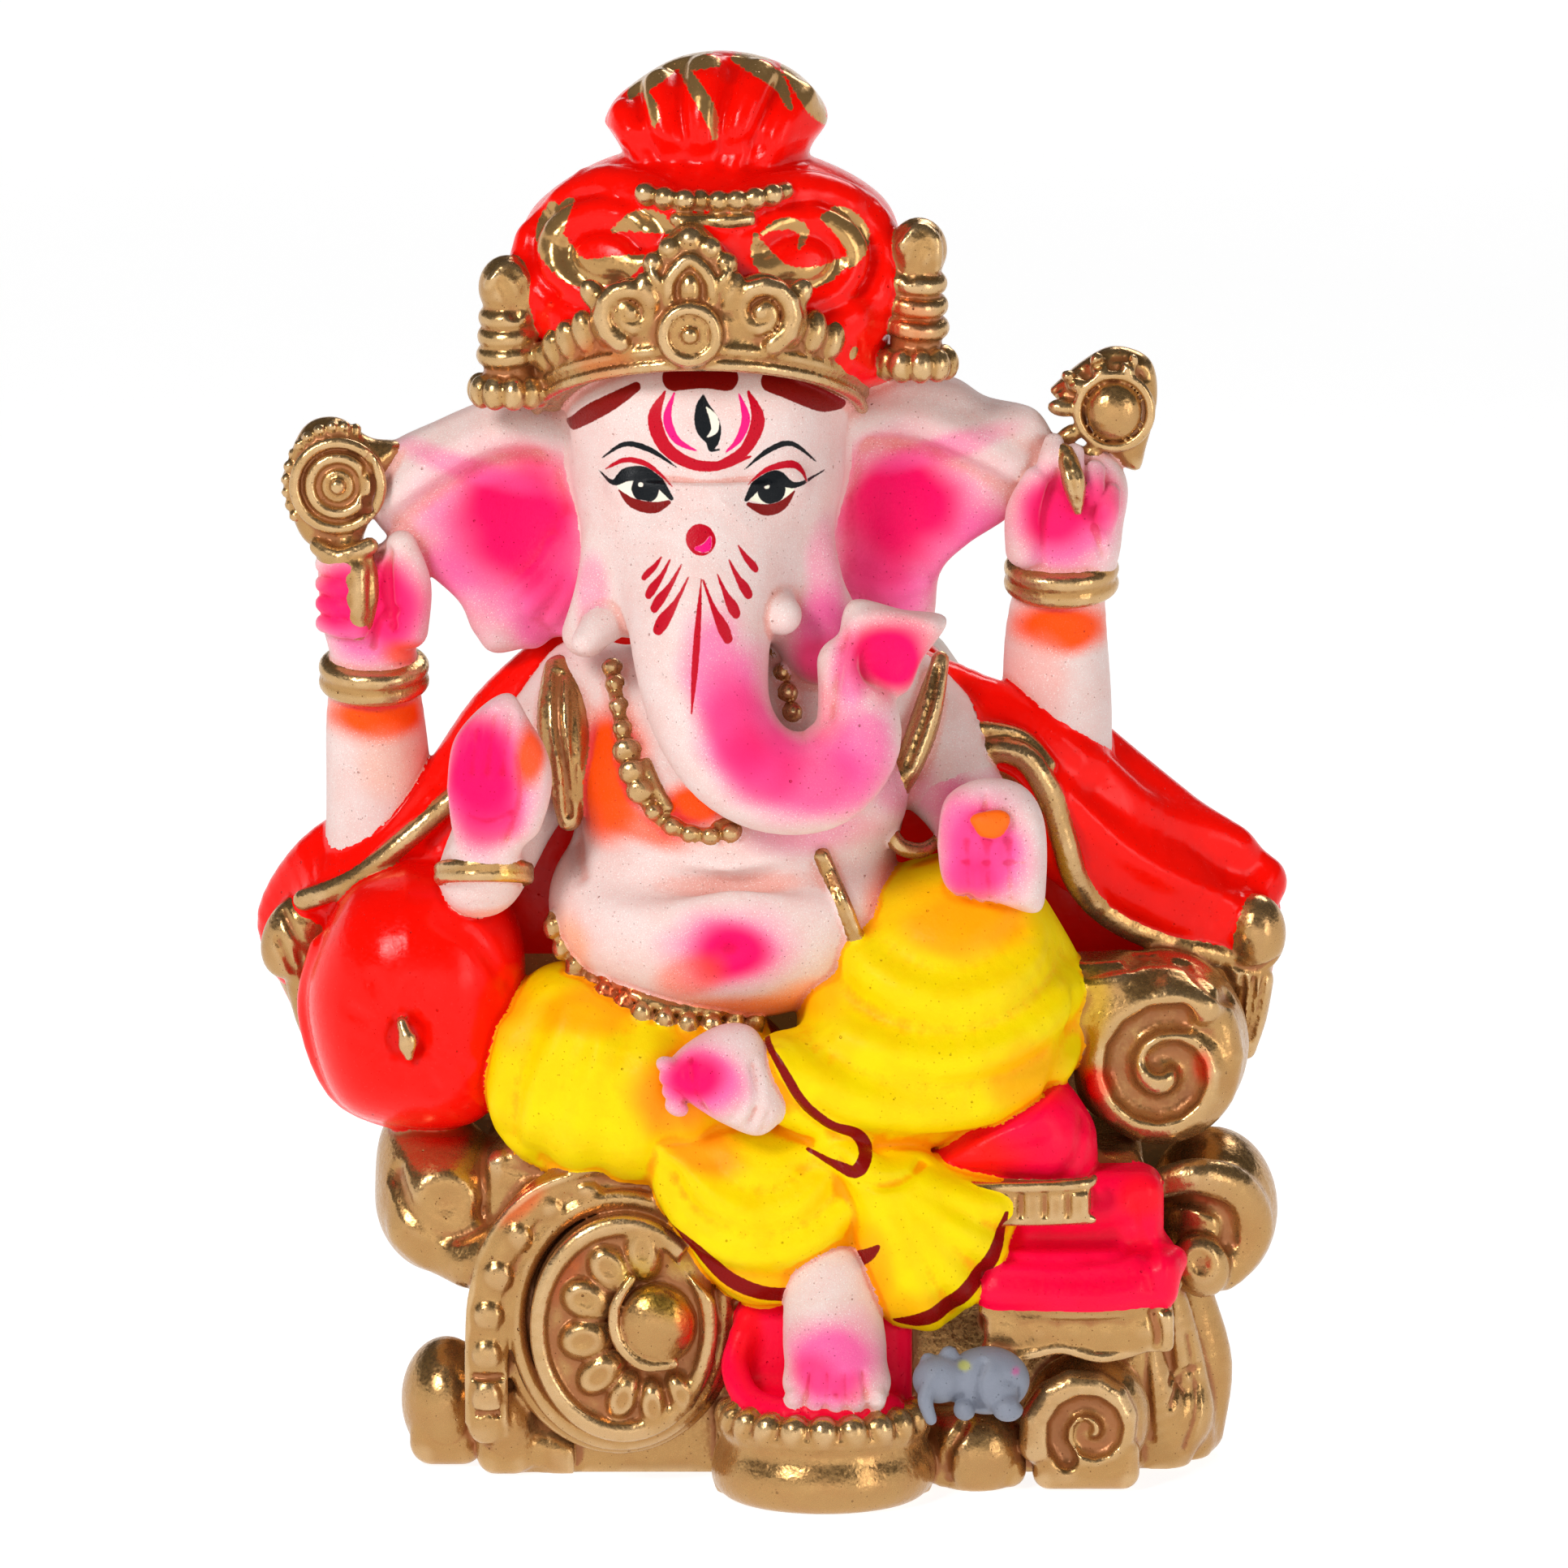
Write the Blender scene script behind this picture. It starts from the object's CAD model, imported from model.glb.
"""The looks of a painted plaster idol: a seated elephant-headed deity on a scrolled throne.

The idol is one casting, so it is modelled as clay: every form is a signed distance on one shared grid,
the forms are blended where they meet, and each one is then cut out as its own closed piece.
Lengths in this file are in mm, in the frame of the CAD, until mesh_piece() turns them into metres.
"""

import math

import bpy
import numpy as np
import openvdb as vdb
from mathutils import Euler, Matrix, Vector


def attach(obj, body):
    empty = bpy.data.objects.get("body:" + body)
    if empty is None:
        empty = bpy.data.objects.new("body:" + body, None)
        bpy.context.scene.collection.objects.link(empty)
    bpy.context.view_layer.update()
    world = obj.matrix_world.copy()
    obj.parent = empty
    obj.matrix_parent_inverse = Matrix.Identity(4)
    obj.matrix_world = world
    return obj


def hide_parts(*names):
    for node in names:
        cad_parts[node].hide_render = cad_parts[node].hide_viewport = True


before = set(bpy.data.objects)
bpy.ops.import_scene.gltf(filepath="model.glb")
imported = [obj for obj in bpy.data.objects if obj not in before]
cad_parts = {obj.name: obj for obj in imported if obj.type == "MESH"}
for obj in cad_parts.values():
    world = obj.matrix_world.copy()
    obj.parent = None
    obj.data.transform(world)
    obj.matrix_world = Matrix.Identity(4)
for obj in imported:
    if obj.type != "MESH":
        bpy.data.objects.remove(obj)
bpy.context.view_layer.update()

# ---- clay: signed distances on one shared grid ----

STEP = 0.5  # grid spacing
CORNER = np.array([-99.0, -58.0, -3.0])  # lowest corner of the grid
COUNT = np.ceil((np.array([99.0, 56.0, 258.0]) - CORNER) / STEP).astype(int)
FAR = 9.0  # distances are only kept this far from a surface
MARGIN = 1.3  # how far a piece reaches under its neighbours
BLEND = 1.0  # how softly two forms meet
LIP, EASE, PULL = 0.9, 0.12, 0.8  # past LIP mm outside its own form, a piece sinks under its neighbours


def lattice(lo, hi):
    """The coordinates of the grid points from index lo to index hi, one array for each axis."""
    axes = []
    for a in range(3):
        line = (np.arange(lo[a], hi[a], dtype=np.float32) * STEP + CORNER[a]).astype(np.float32)
        axes.append(line.reshape([-1 if a == b else 1 for b in range(3)]))
    return axes


def soft_min(a, b, k):
    """The union of two forms, blended over k."""
    if k <= 0:
        return np.minimum(a, b)
    h = np.maximum(k - np.abs(a - b), 0) / k
    return np.minimum(a, b) - h * h * (k / 4)


def curve(points, n=6):
    """Points on the smooth curve through the given points, n for each span."""
    p = np.array(points, float)
    if len(p) < 3:
        return [p[0] + (p[-1] - p[0]) * t for t in np.linspace(0, 1, n + 1)]
    out = []
    for i in range(len(p) - 1):
        a, b, c, d = p[max(i - 1, 0)], p[i], p[i + 1], p[min(i + 2, len(p) - 1)]
        for j in range(n):
            t = j / n
            out.append(0.5 * (2 * b + (c - a) * t + (2 * a - 5 * b + 4 * c - d) * t * t
                              + (3 * b - a - 3 * c + d) * t ** 3))
    out.append(p[-1])
    return out


def polar(degrees):
    """The cosine and the sine of an angle."""
    return math.cos(math.radians(degrees)), math.sin(math.radians(degrees))


def spaced(points, gap):
    """The points of a path that lie at least gap apart."""
    kept = []
    for p in points:
        if not kept or np.linalg.norm(p - kept[-1]) >= gap:
            kept.append(p)
    return kept


def turned(turn):
    """The rotation that takes a point into a turned form's own axes."""
    if isinstance(turn, (int, float)):
        turn = (0, turn, 0)
    return np.array(Euler([math.radians(t) for t in turn]).to_matrix().transposed(), np.float32)


# A form is a list of parts, each a lowest corner, a highest corner and a distance function.

def egg(c, r, turn=None):
    """An ellipsoid; turn is in degrees, about Y or about all three axes."""
    c = np.array(c, np.float32)
    r = np.array(r if hasattr(r, "__len__") else (r, r, r), np.float32)
    reach = r if turn is None else np.full(3, r.max())
    m = None if turn is None else turned(turn)

    def far(x, y, z):
        x, y, z = x - c[0], y - c[1], z - c[2]
        if m is not None:
            x, y, z = (m[i][0] * x + m[i][1] * y + m[i][2] * z for i in range(3))
        x, y, z = x / r[0], y / r[1], z / r[2]
        k0 = np.sqrt(x * x + y * y + z * z)
        k1 = np.sqrt((x / r[0]) ** 2 + (y / r[1]) ** 2 + (z / r[2]) ** 2)
        return k0 * (k0 - 1) / np.maximum(k1, 1e-4)
    return [(c - reach, c + reach, far)]


def block(c, half, rounding=1.0, turn=None):
    """A box with rounded edges."""
    c = np.array(c, np.float32)
    h = np.array(half, np.float32)
    reach = h if turn is None else np.full(3, float(np.linalg.norm(h)))
    m = None if turn is None else turned(turn)

    def far(x, y, z):
        x, y, z = x - c[0], y - c[1], z - c[2]
        if m is not None:
            x, y, z = (m[i][0] * x + m[i][1] * y + m[i][2] * z for i in range(3))
        q = [np.abs(v) - h[i] + rounding for i, v in enumerate((x, y, z))]
        out = np.sqrt(sum(np.maximum(v, 0) ** 2 for v in q))
        return out + np.minimum(np.maximum(np.maximum(q[0], q[1]), q[2]), 0) - rounding
    return [(c - reach, c + reach, far)]


def rod(a, b, ra, rb=None, flat=1.0):
    """A straight limb with round ends; flat squeezes its depth along Y."""
    a, b = np.array(a, np.float32), np.array(b, np.float32)
    rb = ra if rb is None else rb
    big = max(ra, rb)
    s = np.array([1, 1 / flat, 1], np.float32)
    ba = (b - a) * s
    span = float(ba @ ba) + 1e-9

    def far(x, y, z):
        x, y, z = x - a[0], (y - a[1]) * s[1], z - a[2]
        t = np.clip((x * ba[0] + y * ba[1] + z * ba[2]) / span, 0, 1)
        d = np.sqrt((x - t * ba[0]) ** 2 + (y - t * ba[1]) ** 2 + (z - t * ba[2]) ** 2)
        return (d - (ra + t * (rb - ra))) * min(flat, 1)
    return [(np.minimum(a, b) - big, np.maximum(a, b) + big, far)]


def tube(points, radii, n=5, flat=1.0):
    """A limb along a smooth curve; radii are one number or one for each point."""
    if not hasattr(radii, "__len__"):
        radii = [radii] * len(points)
    path = curve([tuple(p) + (r,) for p, r in zip(points, radii)], n)
    parts = []
    for a, b in zip(path[:-1], path[1:]):
        parts += rod(a[:3], b[:3], max(a[3], 0.05), max(b[3], 0.05), flat)
    return parts


def ring(c, radius, thick, normal=(0, 1, 0), oval=1.0):
    """A ring; with the normal along Y, oval is its height over its width."""
    c = np.array(c, np.float32)
    n = np.array(normal, np.float32) / np.linalg.norm(normal)
    reach = np.full(3, (radius * max(oval, 1) + thick))

    def far(x, y, z):
        x, y, z = x - c[0], y - c[1], (z - c[2]) / oval
        h = x * n[0] + y * n[1] + z * n[2]
        rad = np.sqrt(np.maximum(x * x + y * y + z * z - h * h, 0))
        return np.sqrt((rad - radius) ** 2 + h * h) - thick
    return [(c - reach, c + reach, far)]


def drum(c, radius, z0, z1, rounding=1.0, flare=0.0):
    """An upright drum, wider at its foot by flare."""
    c = np.array(c, np.float32)

    def far(x, y, z):
        r = radius + flare * np.clip((z1 - z) / (z1 - z0), 0, 1) ** 2
        side = np.hypot(x - c[0], y - c[1]) - r + rounding
        end = np.abs(z - (z0 + z1) / 2) - (z1 - z0) / 2 + rounding
        out = np.sqrt(np.maximum(side, 0) ** 2 + np.maximum(end, 0) ** 2)
        return out + np.minimum(np.maximum(side, end), 0) - rounding
    big = radius + flare
    return [((c[0] - big, c[1] - big, z0), (c[0] + big, c[1] + big, z1), far)]


def puff(outline, c, size, front, back, hub=(0.0, 0.0), power=2.0):
    """A cushion-like relief: an outline in XZ, in half sizes, swelling to the front and back."""
    half = np.array(size, float) / 2
    pts = np.array(curve(list(outline) + [outline[0]], 8)) * half
    h = np.array(hub) * half
    rel = pts - h
    ang = np.arctan2(rel[:, 1], rel[:, 0])
    order = np.argsort(ang)
    ang, rad = ang[order], np.hypot(rel[:, 0], rel[:, 1])[order]
    table = np.interp(np.linspace(-math.pi, math.pi, 721), np.r_[ang[-1] - 2 * math.pi, ang,
                      ang[0] + 2 * math.pi], np.r_[rad[-1], rad, rad[0]]).astype(np.float32)
    centre = np.array([c[0] + h[0], c[1], c[2] + h[1]], np.float32)
    lo = np.array([c[0] + pts[:, 0].min(), c[1] - front, c[2] + pts[:, 1].min()])
    hi = np.array([c[0] + pts[:, 0].max(), c[1] + back, c[2] + pts[:, 1].max()])

    def far(x, y, z):
        x, y, z = x - centre[0], y - centre[1], z - centre[2]
        flat = np.hypot(x, z)
        spot = (np.arctan2(z, x) + math.pi) * (720 / (2 * math.pi))
        i = np.clip(spot.astype(np.int32), 0, 719)
        edge = table[i] + (table[i + 1] - table[i]) * (spot - i)
        q = flat / edge
        depth = np.where(y < 0, np.float32(front), np.float32(back))
        v = np.abs(y) / depth
        k0 = (q ** power + v ** power) ** (1 / power)
        slope = np.sqrt((q ** (power - 1) / edge) ** 2 + (v ** (power - 1) / depth) ** 2)
        d = (k0 - 1) * np.maximum(k0, 0.05) ** (power - 1) / np.maximum(slope, 1e-3)
        return np.clip(d, -FAR, FAR)
    return [(lo, hi, far)]


def slab(outline, c, size, y0, y1, rounding=3.0):
    """A plate from y0 to y1 with rounded edges, its outline in XZ in half sizes."""
    half = np.array(size, float) / 2
    pts = np.array(curve(list(outline) + [outline[0]], 4)) * half + np.array([c[0], c[2]])

    def far(x, y, z):
        flat = np.full(np.broadcast_shapes(x.shape, z.shape), 1e9, np.float32)
        inside = np.zeros(flat.shape, bool)
        for a, b in zip(pts[:-1], pts[1:]):
            e = b - a
            if e @ e < 1e-9:
                continue
            t = np.clip(((x - a[0]) * e[0] + (z - a[1]) * e[1]) / (e @ e), 0, 1)
            flat = np.minimum(flat, (x - a[0] - t * e[0]) ** 2 + (z - a[1] - t * e[1]) ** 2)
            if a[1] != b[1]:
                crossing = (a[1] > z) != (b[1] > z)
                inside ^= crossing & (x < e[0] * (z - a[1]) / e[1] + a[0])
        flat = np.sqrt(flat).astype(np.float32)
        flat = np.where(inside, -flat, flat) + rounding
        deep = np.abs(y - (y0 + y1) / 2) - (y1 - y0) / 2 + rounding
        out = np.sqrt(np.maximum(flat, 0) ** 2 + np.maximum(deep, 0) ** 2)
        return out + np.minimum(np.maximum(flat, deep), 0) - rounding
    lo = np.array([pts[:, 0].min(), y0, pts[:, 1].min()])
    hi = np.array([pts[:, 0].max(), y1, pts[:, 1].max()])
    return [(lo, hi, far)]


class Clay:
    """One form: its distances on a window of the shared grid."""

    every = []

    def __init__(self, name, low, high, paint, node=None, **look):
        self.name, self.paint, self.look = name, paint, look
        self.nodes, self.slot = [node or name], paint + "_paint"
        low, high = np.array(low, float) - 3, np.array(high, float) + 3
        self.lo = np.maximum(np.floor((low - CORNER) / STEP).astype(int), 1)
        self.hi = np.minimum(np.ceil((high - CORNER) / STEP).astype(int), COUNT - 1)
        self.d = np.full(tuple(self.hi - self.lo), FAR, np.float32)
        Clay.every.append(self)

    def window(self, low, high, pad):
        lo = np.floor((np.array(low, float) - pad - CORNER) / STEP).astype(int)
        hi = np.ceil((np.array(high, float) + pad - CORNER) / STEP).astype(int) + 1
        lo, hi = np.maximum(lo, self.lo), np.minimum(hi, self.hi)
        return lo, hi, tuple(slice(a, b) for a, b in zip(lo - self.lo, hi - self.lo))

    def distances(self, form, pad):
        """The distances of a form's parts together, with the box that they fill."""
        low = np.min([p[0] for p in form], axis=0)
        high = np.max([p[1] for p in form], axis=0)
        lo, hi, where = self.window(low, high, pad)
        if np.any(hi <= lo):
            return None, None
        total = np.full(tuple(hi - lo), FAR, np.float32)
        for p_low, p_high, far in form:
            a, b, _ = self.window(p_low, p_high, pad)
            if np.any(b <= a):
                continue
            cell = tuple(slice(s, e) for s, e in zip(a - lo, b - lo))
            total[cell] = np.minimum(total[cell], far(*lattice(a, b)))
        return total, where

    def add(self, form, k=1.0):
        total, where = self.distances(form, max(k, 1) + 2.5)
        if total is not None:
            self.d[where] = soft_min(self.d[where], total, k)
        return self

    def cut(self, form, k=0.6):
        total, where = self.distances(form, max(k, 1) + 2.5)
        if total is not None:
            self.d[where] = -soft_min(-self.d[where], total, k)
        return self

    def foremost(self, x, z):
        """The lowest Y of the surface at x, z, or None."""
        i = int(round((x - CORNER[0]) / STEP)) - self.lo[0]
        k = int(round((z - CORNER[2]) / STEP)) - self.lo[2]
        if not (0 <= i < self.d.shape[0] and 0 <= k < self.d.shape[2]):
            return None
        line = self.d[i, :, k]
        hit = np.nonzero(line < 0)[0]
        if not len(hit):
            return None
        j = hit[0]
        t = 0.0 if j == 0 else line[j - 1] / (line[j - 1] - line[j])
        return CORNER[1] + (self.lo[1] + j - 1 + t) * STEP

    def slope(self, p):
        """The outward direction of the surface near p."""
        i = np.clip(np.round((np.array(p) - CORNER) / STEP).astype(int) - self.lo, 2,
                    np.array(self.d.shape) - 3)
        g = np.array([self.d[tuple(i + e)] - self.d[tuple(i - e)] for e in np.eye(3, dtype=int) * 2])
        return g / max(np.linalg.norm(g), 1e-6)

    def on(self, path, off=0.0, n=4, base=None):
        """Points on the front surface over a smooth path in XZ, lifted along the surface's slope."""
        out = []
        forms = [self] + list(base or [])
        for x, z in (curve(path, n) if n else path):
            hits = [(f.foremost(x, z), f) for f in forms]
            hits = [h for h in hits if h[0] is not None]
            if hits:
                y, form = min(hits, key=lambda h: h[0])
                out.append(np.array([x, y, z]) + form.slope((x, y, z)) * off)
        return out

    def groove(self, path, r=1.0, deep=0.5, k=0.8, n=4, base=None):
        pts = self.on(path, r - deep, n, base)
        return self.cut(tube(pts, r, 1), k) if len(pts) > 1 else self

    def ridge(self, path, r=1.0, high=0.6, k=0.8, n=4, taper=False, base=None):
        pts = self.on(path, high - r, n, base)
        if len(pts) < 2:
            return self
        t = np.linspace(0, 1, len(pts))
        radii = r * (0.35 + 0.65 * np.sin(math.pi * np.clip(t, 0.02, 0.98)) ** 0.6) if taper \
            else [r] * len(pts)
        return self.add(tube(pts, list(radii), 1), k)

    def beads(self, path, r, high, gap=2.1, k=0.25, base=None):
        """Round beads side by side along a path on the surface."""
        for p in spaced(self.on(path, high - r, 12, base), gap * r):
            self.add(egg(p, r), k)
        return self


def spiral(c, r0, r1, a0, turns, y, n=10):
    """Points of a flat spiral that faces the front, from radius r0 to r1."""
    out = []
    steps = max(int(abs(turns) * n), 4)
    for i in range(steps + 1):
        t = i / steps
        a = math.radians(a0) + turns * 2 * math.pi * t
        r = r0 + (r1 - r0) * t
        out.append((c[0] + r * math.cos(a), y, c[1] + r * math.sin(a)))
    return out


def arc(c, rx, rz, a0, a1, n=8):
    """A path in XZ round part of an ellipse, its angles in degrees."""
    return [(c[0] + rx * ca, c[1] + rz * sa) for ca, sa in map(polar, np.linspace(a0, a1, n))]

# ---- forms: the throne ----

GOLD, FLESH, RED, YELLOW, PINK = "gold", "flesh", "red", "yellow", "pink"

core = Clay("throne_body", (-52, -18, 0), (66, 18, 58), GOLD, "throne_core", coarse=2)
core.add(block((7, 1, 28.5), (58, 17, 29.5), 3))
core.cut(block((7, 1, 22), (50, 9, 28), 3))
core.groove([(-47, 55.5), (-20, 54), (0, 55)], 1.2, 0.5)
core.ridge([(52, 20), (58, 16), (64, 20)], 2.0, 0.8, 1.5)

BACK = [(-0.6, -1), (-0.58, -0.72), (-0.66, -0.58), (-0.72, -0.42), (-0.74, -0.31), (-0.88, -0.12),
        (-0.98, 0.1), (-1, 0.2), (-0.95, 0.34), (-0.82, 0.47), (-0.66, 0.55), (-0.55, 0.76),
        (-0.46, 0.94), (-0.3, 1), (0.1, 1), (0.3, 0.95), (0.43, 0.75), (0.6, 0.64), (0.83, 0.42),
        (0.98, 0.33), (1, 0.25), (0.97, 0.05), (0.91, -0.14), (0.84, -0.28), (0.93, -0.42),
        (0.94, -0.52), (0.87, -0.66), (0.79, -0.78), (0.81, -1)]
back = Clay("throne_back", (-91, 16, 0), (91, 49, 148), RED, coarse=2)
back.add(slab(BACK, (0, 33, 73), (180, 146), 17.5, 47.8, 7))
back.cut(egg((-2, 56, 70), (50, 14, 52)), 8)

roll_l = Clay("back_roll_left", (-91, -6, 84), (-34, 22, 150), RED)
roll_l.add(tube([(-84.5, 14, 91), (-77, 9, 100), (-68, 6, 105.5), (-56, 6, 116), (-47, 8, 130),
                 (-38, 8, 140)], [4.5, 7, 8.3, 8.8, 8, 7]))
roll_l.add(tube([(-86, 20, 86), (-87, 18, 94), (-80, 14, 104), (-70, 12, 111)], [4, 5, 6, 6]), 3)
for path in ([(-86, 92), (-77, 101), (-68, 108), (-60, 116)], [(-80, 94), (-72, 101), (-62, 108),
                                                               (-56, 115)],
             [(-60, 111), (-52, 121), (-46, 132)]):
    roll_l.groove(path, 1.6, 0.7, 1.6)
roll_l.ridge([(-83, 98), (-74, 105), (-66, 111), (-61, 118)], 2.0, 1.0, 2)

roll_r = Clay("back_roll_right", (12, -8, 84), (91, 24, 150), RED)
roll_r.add(tube([(20, 4, 138), (31, 5, 130), (44, 6, 122), (57, 7, 110), (70, 10, 100), (84, 13, 92)],
                [8, 11, 12, 11, 9.5, 6]))
roll_r.add(tube([(46, 16, 132), (58, 15, 121), (72, 16, 110), (86, 18, 100)], [6, 6.5, 6, 5]), 4)
for path in ([(24, 140), (36, 137), (50, 127), (64, 113), (80, 103)],
             [(36, 128), (50, 115), (62, 104), (78, 96)], [(58, 121), (70, 112), (84, 104)]):
    roll_r.groove(path, 2.6, 0.7, 4)
roll_r.ridge([(40, 136), (54, 126), (68, 114), (82, 107)], 3.0, 0.8, 4)

PIPE_R = [(26, 118), (30, 124), (36, 127.6), (43, 127), (48, 120.6), (50.6, 112), (53.4, 104), (59, 97.4),
          (68, 92.6),
          (81, 88.6)]
PIPE_L = [(-50, 125), (-57, 118.4), (-65, 111.4), (-74, 104), (-83, 99.4)]
piping = Clay("back_piping", (-88, -16, 82), (86, 12, 134), GOLD)
piping.add(tube(roll_l.on(PIPE_L, 0.3, 5), 1.9, 1), 0.6)
piping.add(tube(roll_r.on(PIPE_R, 0.5, 5, [back]), 2.3, 1), 0.6)
piping.add(tube(roll_r.on([(29, 115), (34, 121), (40, 122), (44.6, 117)], 0.3, 5, [back]), 1.7, 1), 0.6)
piping.add(tube(roll_r.on([(23, 122), (28, 128), (35, 131.4), (43, 130), (48, 125)], 0.1, 5, [back]), 1.3,
                1), 0.6)

tassels = Clay("corner_tassels", (-92, 0, 58), (92, 22, 106), GOLD)
tassels.add(egg((-85, 8.5, 92), (5.6, 5, 8), 25))
tassels.add(tube([(-83, 11, 85), (-80, 12.5, 76), (-76, 13, 69), (-72, 14, 62)], [4.2, 4.8, 4.2, 3.2]), 1.5)
for path in ([(-87, 97), (-84, 92), (-80, 88)], [(-84, 90), (-82, 80), (-77, 70)],
             [(-81, 88), (-78, 78), (-74, 69)], [(-88, 92), (-85, 86)]):
    tassels.groove(path, 0.8, 0.6, 0.5)
tassels.add(egg((85.3, 8.5, 92.5), (5.2, 5.5, 7)), 1)
tassels.add(egg((82.6, 7.5, 86.5), (3, 3, 3.4)), 1)
tassels.add(tube([(85, 9, 84), (84.3, 11, 77), (83.5, 12, 71)], [3.4, 3.0, 2.0]), 1)
for dx in (-1.6, 0.4, 2.2):
    tassels.groove([(84.5 + dx, 85), (84 + dx * 0.8, 79), (83.6 + dx * 0.4, 73)], 0.6, 0.7, 0.3)
tassels.groove([(80, 88.5), (84, 86.5), (89, 88)], 0.7, 0.7, 0.4)

pedestal = Clay("foot_pedestal", (-12, -51, 0), (29, -10, 18), GOLD)
pedestal.add(block((8.5, -24, 6.5), (18.7, 8, 6.3), 1))
pedestal.add(drum((8.5, -31), 18.0, 0.2, 12.6, 3.4, 0.6), 1)
pedestal.add(ring((8.5, -31, 4.6), 15.4, 3.8, (0, 0, 1)), 2.5)
pedestal.cut(ring((8.5, -31, 9.8), 19.6, 1.3, (0, 0, 1)), 0.8)

lobes = Clay("pedestal_beads", (-12, -51, 8), (29, -26, 20), GOLD)
for i in range(11):
    ca, sa = polar(180 + 18 * i)
    lobes.add(egg((8.5 + 16.2 * ca, -31 + 16.2 * sa, 14.2), (2.9, 2.9, 3.2)), 0.5)
lobes.add(ring((8.5, -31, 12.4), 16.8, 1.6, (0, 0, 1)), 0.6)

pad = Clay("footstool_pad", (-9, -46, 11), (27, -14, 33), PINK)
pad.add(drum((8.5, -31), 14.2, 12, 17.8, 2.4), 1)
pad.add(block((8.5, -21, 22), (15.6, 6, 10.4), 3), 3)
pad.add(tube([(-6, -27, 27), (-7, -30, 22), (-4, -36, 17.5), (4, -42, 16.4), (13, -42, 16.6),
              (20, -37, 17)],
             [2, 2.4, 2.4, 2.2, 2.2, 2]), 3)

wheel = Clay("medallion", (-46, -30, 5), (-6, -14, 52), GOLD, "medallion_drum")
CIRCLE = [polar(a) for a in range(0, 360, 30)]
wheel.add(slab(CIRCLE, (-26.5, 0, 28.6), (33, 40), -26.6, -14, 2.2))
wheel.cut(egg((-26.5, -31, 28.6), (13, 6, 16.4)), 2.5)

hoops = Clay("medallion_rings", (-48, -31, 4), (-4, -15, 54), GOLD)
hoops.add(ring((-26.5, -27, 28.6), 15, 1.5, oval=18.6 / 15.1))
hoops.add(ring((-27.1, -21.6, 29), 18.2, 1.5, oval=21.8 / 18.3))
hoops.add(ring((-27.4, -19.2, 29.2), 20.3, 1.2, oval=23.4 / 20.3))
hoops.cut(block((-8, -20, 44), (5, 12, 9), 2, 40), 1)

flower = Clay("medallion_flower", (-41, -34, 10), (-6, -20, 46), GOLD)
flower.add(egg((-20.8, -27.6, 29.4), (7.0, 4.6, 7.4)))
flower.add(tube([(-17.5, -29.5, 22.8), (-23, -30.5, 22.8), (-27.4, -30, 27), (-28, -29.6, 33),
                 (-25, -29, 38)],
                [0.8, 1.0, 1.1, 1.0, 0.8]), 0.5)
for a, far_out, long_, wide in ((96, 12.5, 5, 3.4), (128, 12.2, 5, 3.8), (160, 12.6, 5, 3.9),
                                (192, 12.4, 5, 3.9),
                                (222, 12.6, 5, 3.4), (248, 13.4, 4.6, 2.9), (272, 13.6, 4.2, 2.6),
                                (296, 13, 3.8, 2.3)):
    ca, sa = polar(a)
    spot = (-21.9 + far_out * ca * 0.92, -26.2, 29.4 + far_out * sa * 1.02)
    flower.add(egg(spot, (long_, 3.2, wide), -a), 0.3)
    flower.cut(egg((spot[0] + ca, -30.6, spot[2] + sa), (long_ * 0.66, 2.0, wide * 0.62), -a), 0.6)

strip = Clay("stud_band_left", (-57, -26, 4), (-18, -14, 58), GOLD)
STRIP = [(-50.6, -20.5, 10), (-50.6, -20.5, 22), (-50, -20.5, 33), (-46.6, -20.2, 43.5), (-40, -19.8, 51),
         (-31, -19, 54.6), (-22, -18.4, 55.6)]
strip.add(tube(STRIP, [3.6, 3.6, 3.7, 3.8, 3.6, 3.0, 2.2], flat=0.8))
strip.ridge([(p[0] - 3.2, p[2] + 0.6) for p in STRIP], 0.8, 0.7, 0.6)
strip.ridge([(p[0] + 3.0, p[2] - 1.4) for p in STRIP], 0.8, 0.7, 0.6)
for x, z, rx, rz in ((-50.6, 15, 2.6, 3.6), (-50.6, 23, 2.6, 2.8), (-50.3, 30, 2.7, 2.8),
                     (-48.6, 37, 2.7, 3),
                     (-45, 44, 2.6, 2.8), (-39.6, 49, 2.6, 2.4), (-33, 52, 2.6, 2.0)):
    y = strip.foremost(x, z)
    strip.add(egg((x, (y or -23) + 0.6, z), (rx, 1.6, rz)), 0.4)
strip.groove([(-52.5, 12.4), (-48.6, 12.4)], 0.7, 0.9, 0.3)
strip.groove([(-53, 19), (-48, 19)], 0.7, 0.9, 0.3)

ball = Clay("arm_scroll_left", (-73, -22, 28), (-40, 20, 66), GOLD)
ball.add(egg((-58.8, 0, 47), (12, 18.5, 13.6)))
ball.add(egg((-62.5, 4, 55), (7.5, 12, 8.5)), 4)
ball.add(tube([(-52, -14, 39), (-46, -17, 43), (-42, -17, 50)], [6, 4.6, 3.2]), 4)
ball.groove([(-67, 53), (-64, 47), (-58, 43.6), (-51, 46), (-46, 51)], 1.8, 1.2, 1.6)
ball.ridge([(-66, 42), (-60, 37.5), (-52, 38), (-46, 43)], 3.0, 1.2, 3)
ball.cut(egg((-57.6, -20.5, 49), (5.4, 4.4, 4.6)), 3)
ball.groove([(-72, 58), (-69, 62), (-65, 64)], 1.4, 0.6, 1)

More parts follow.
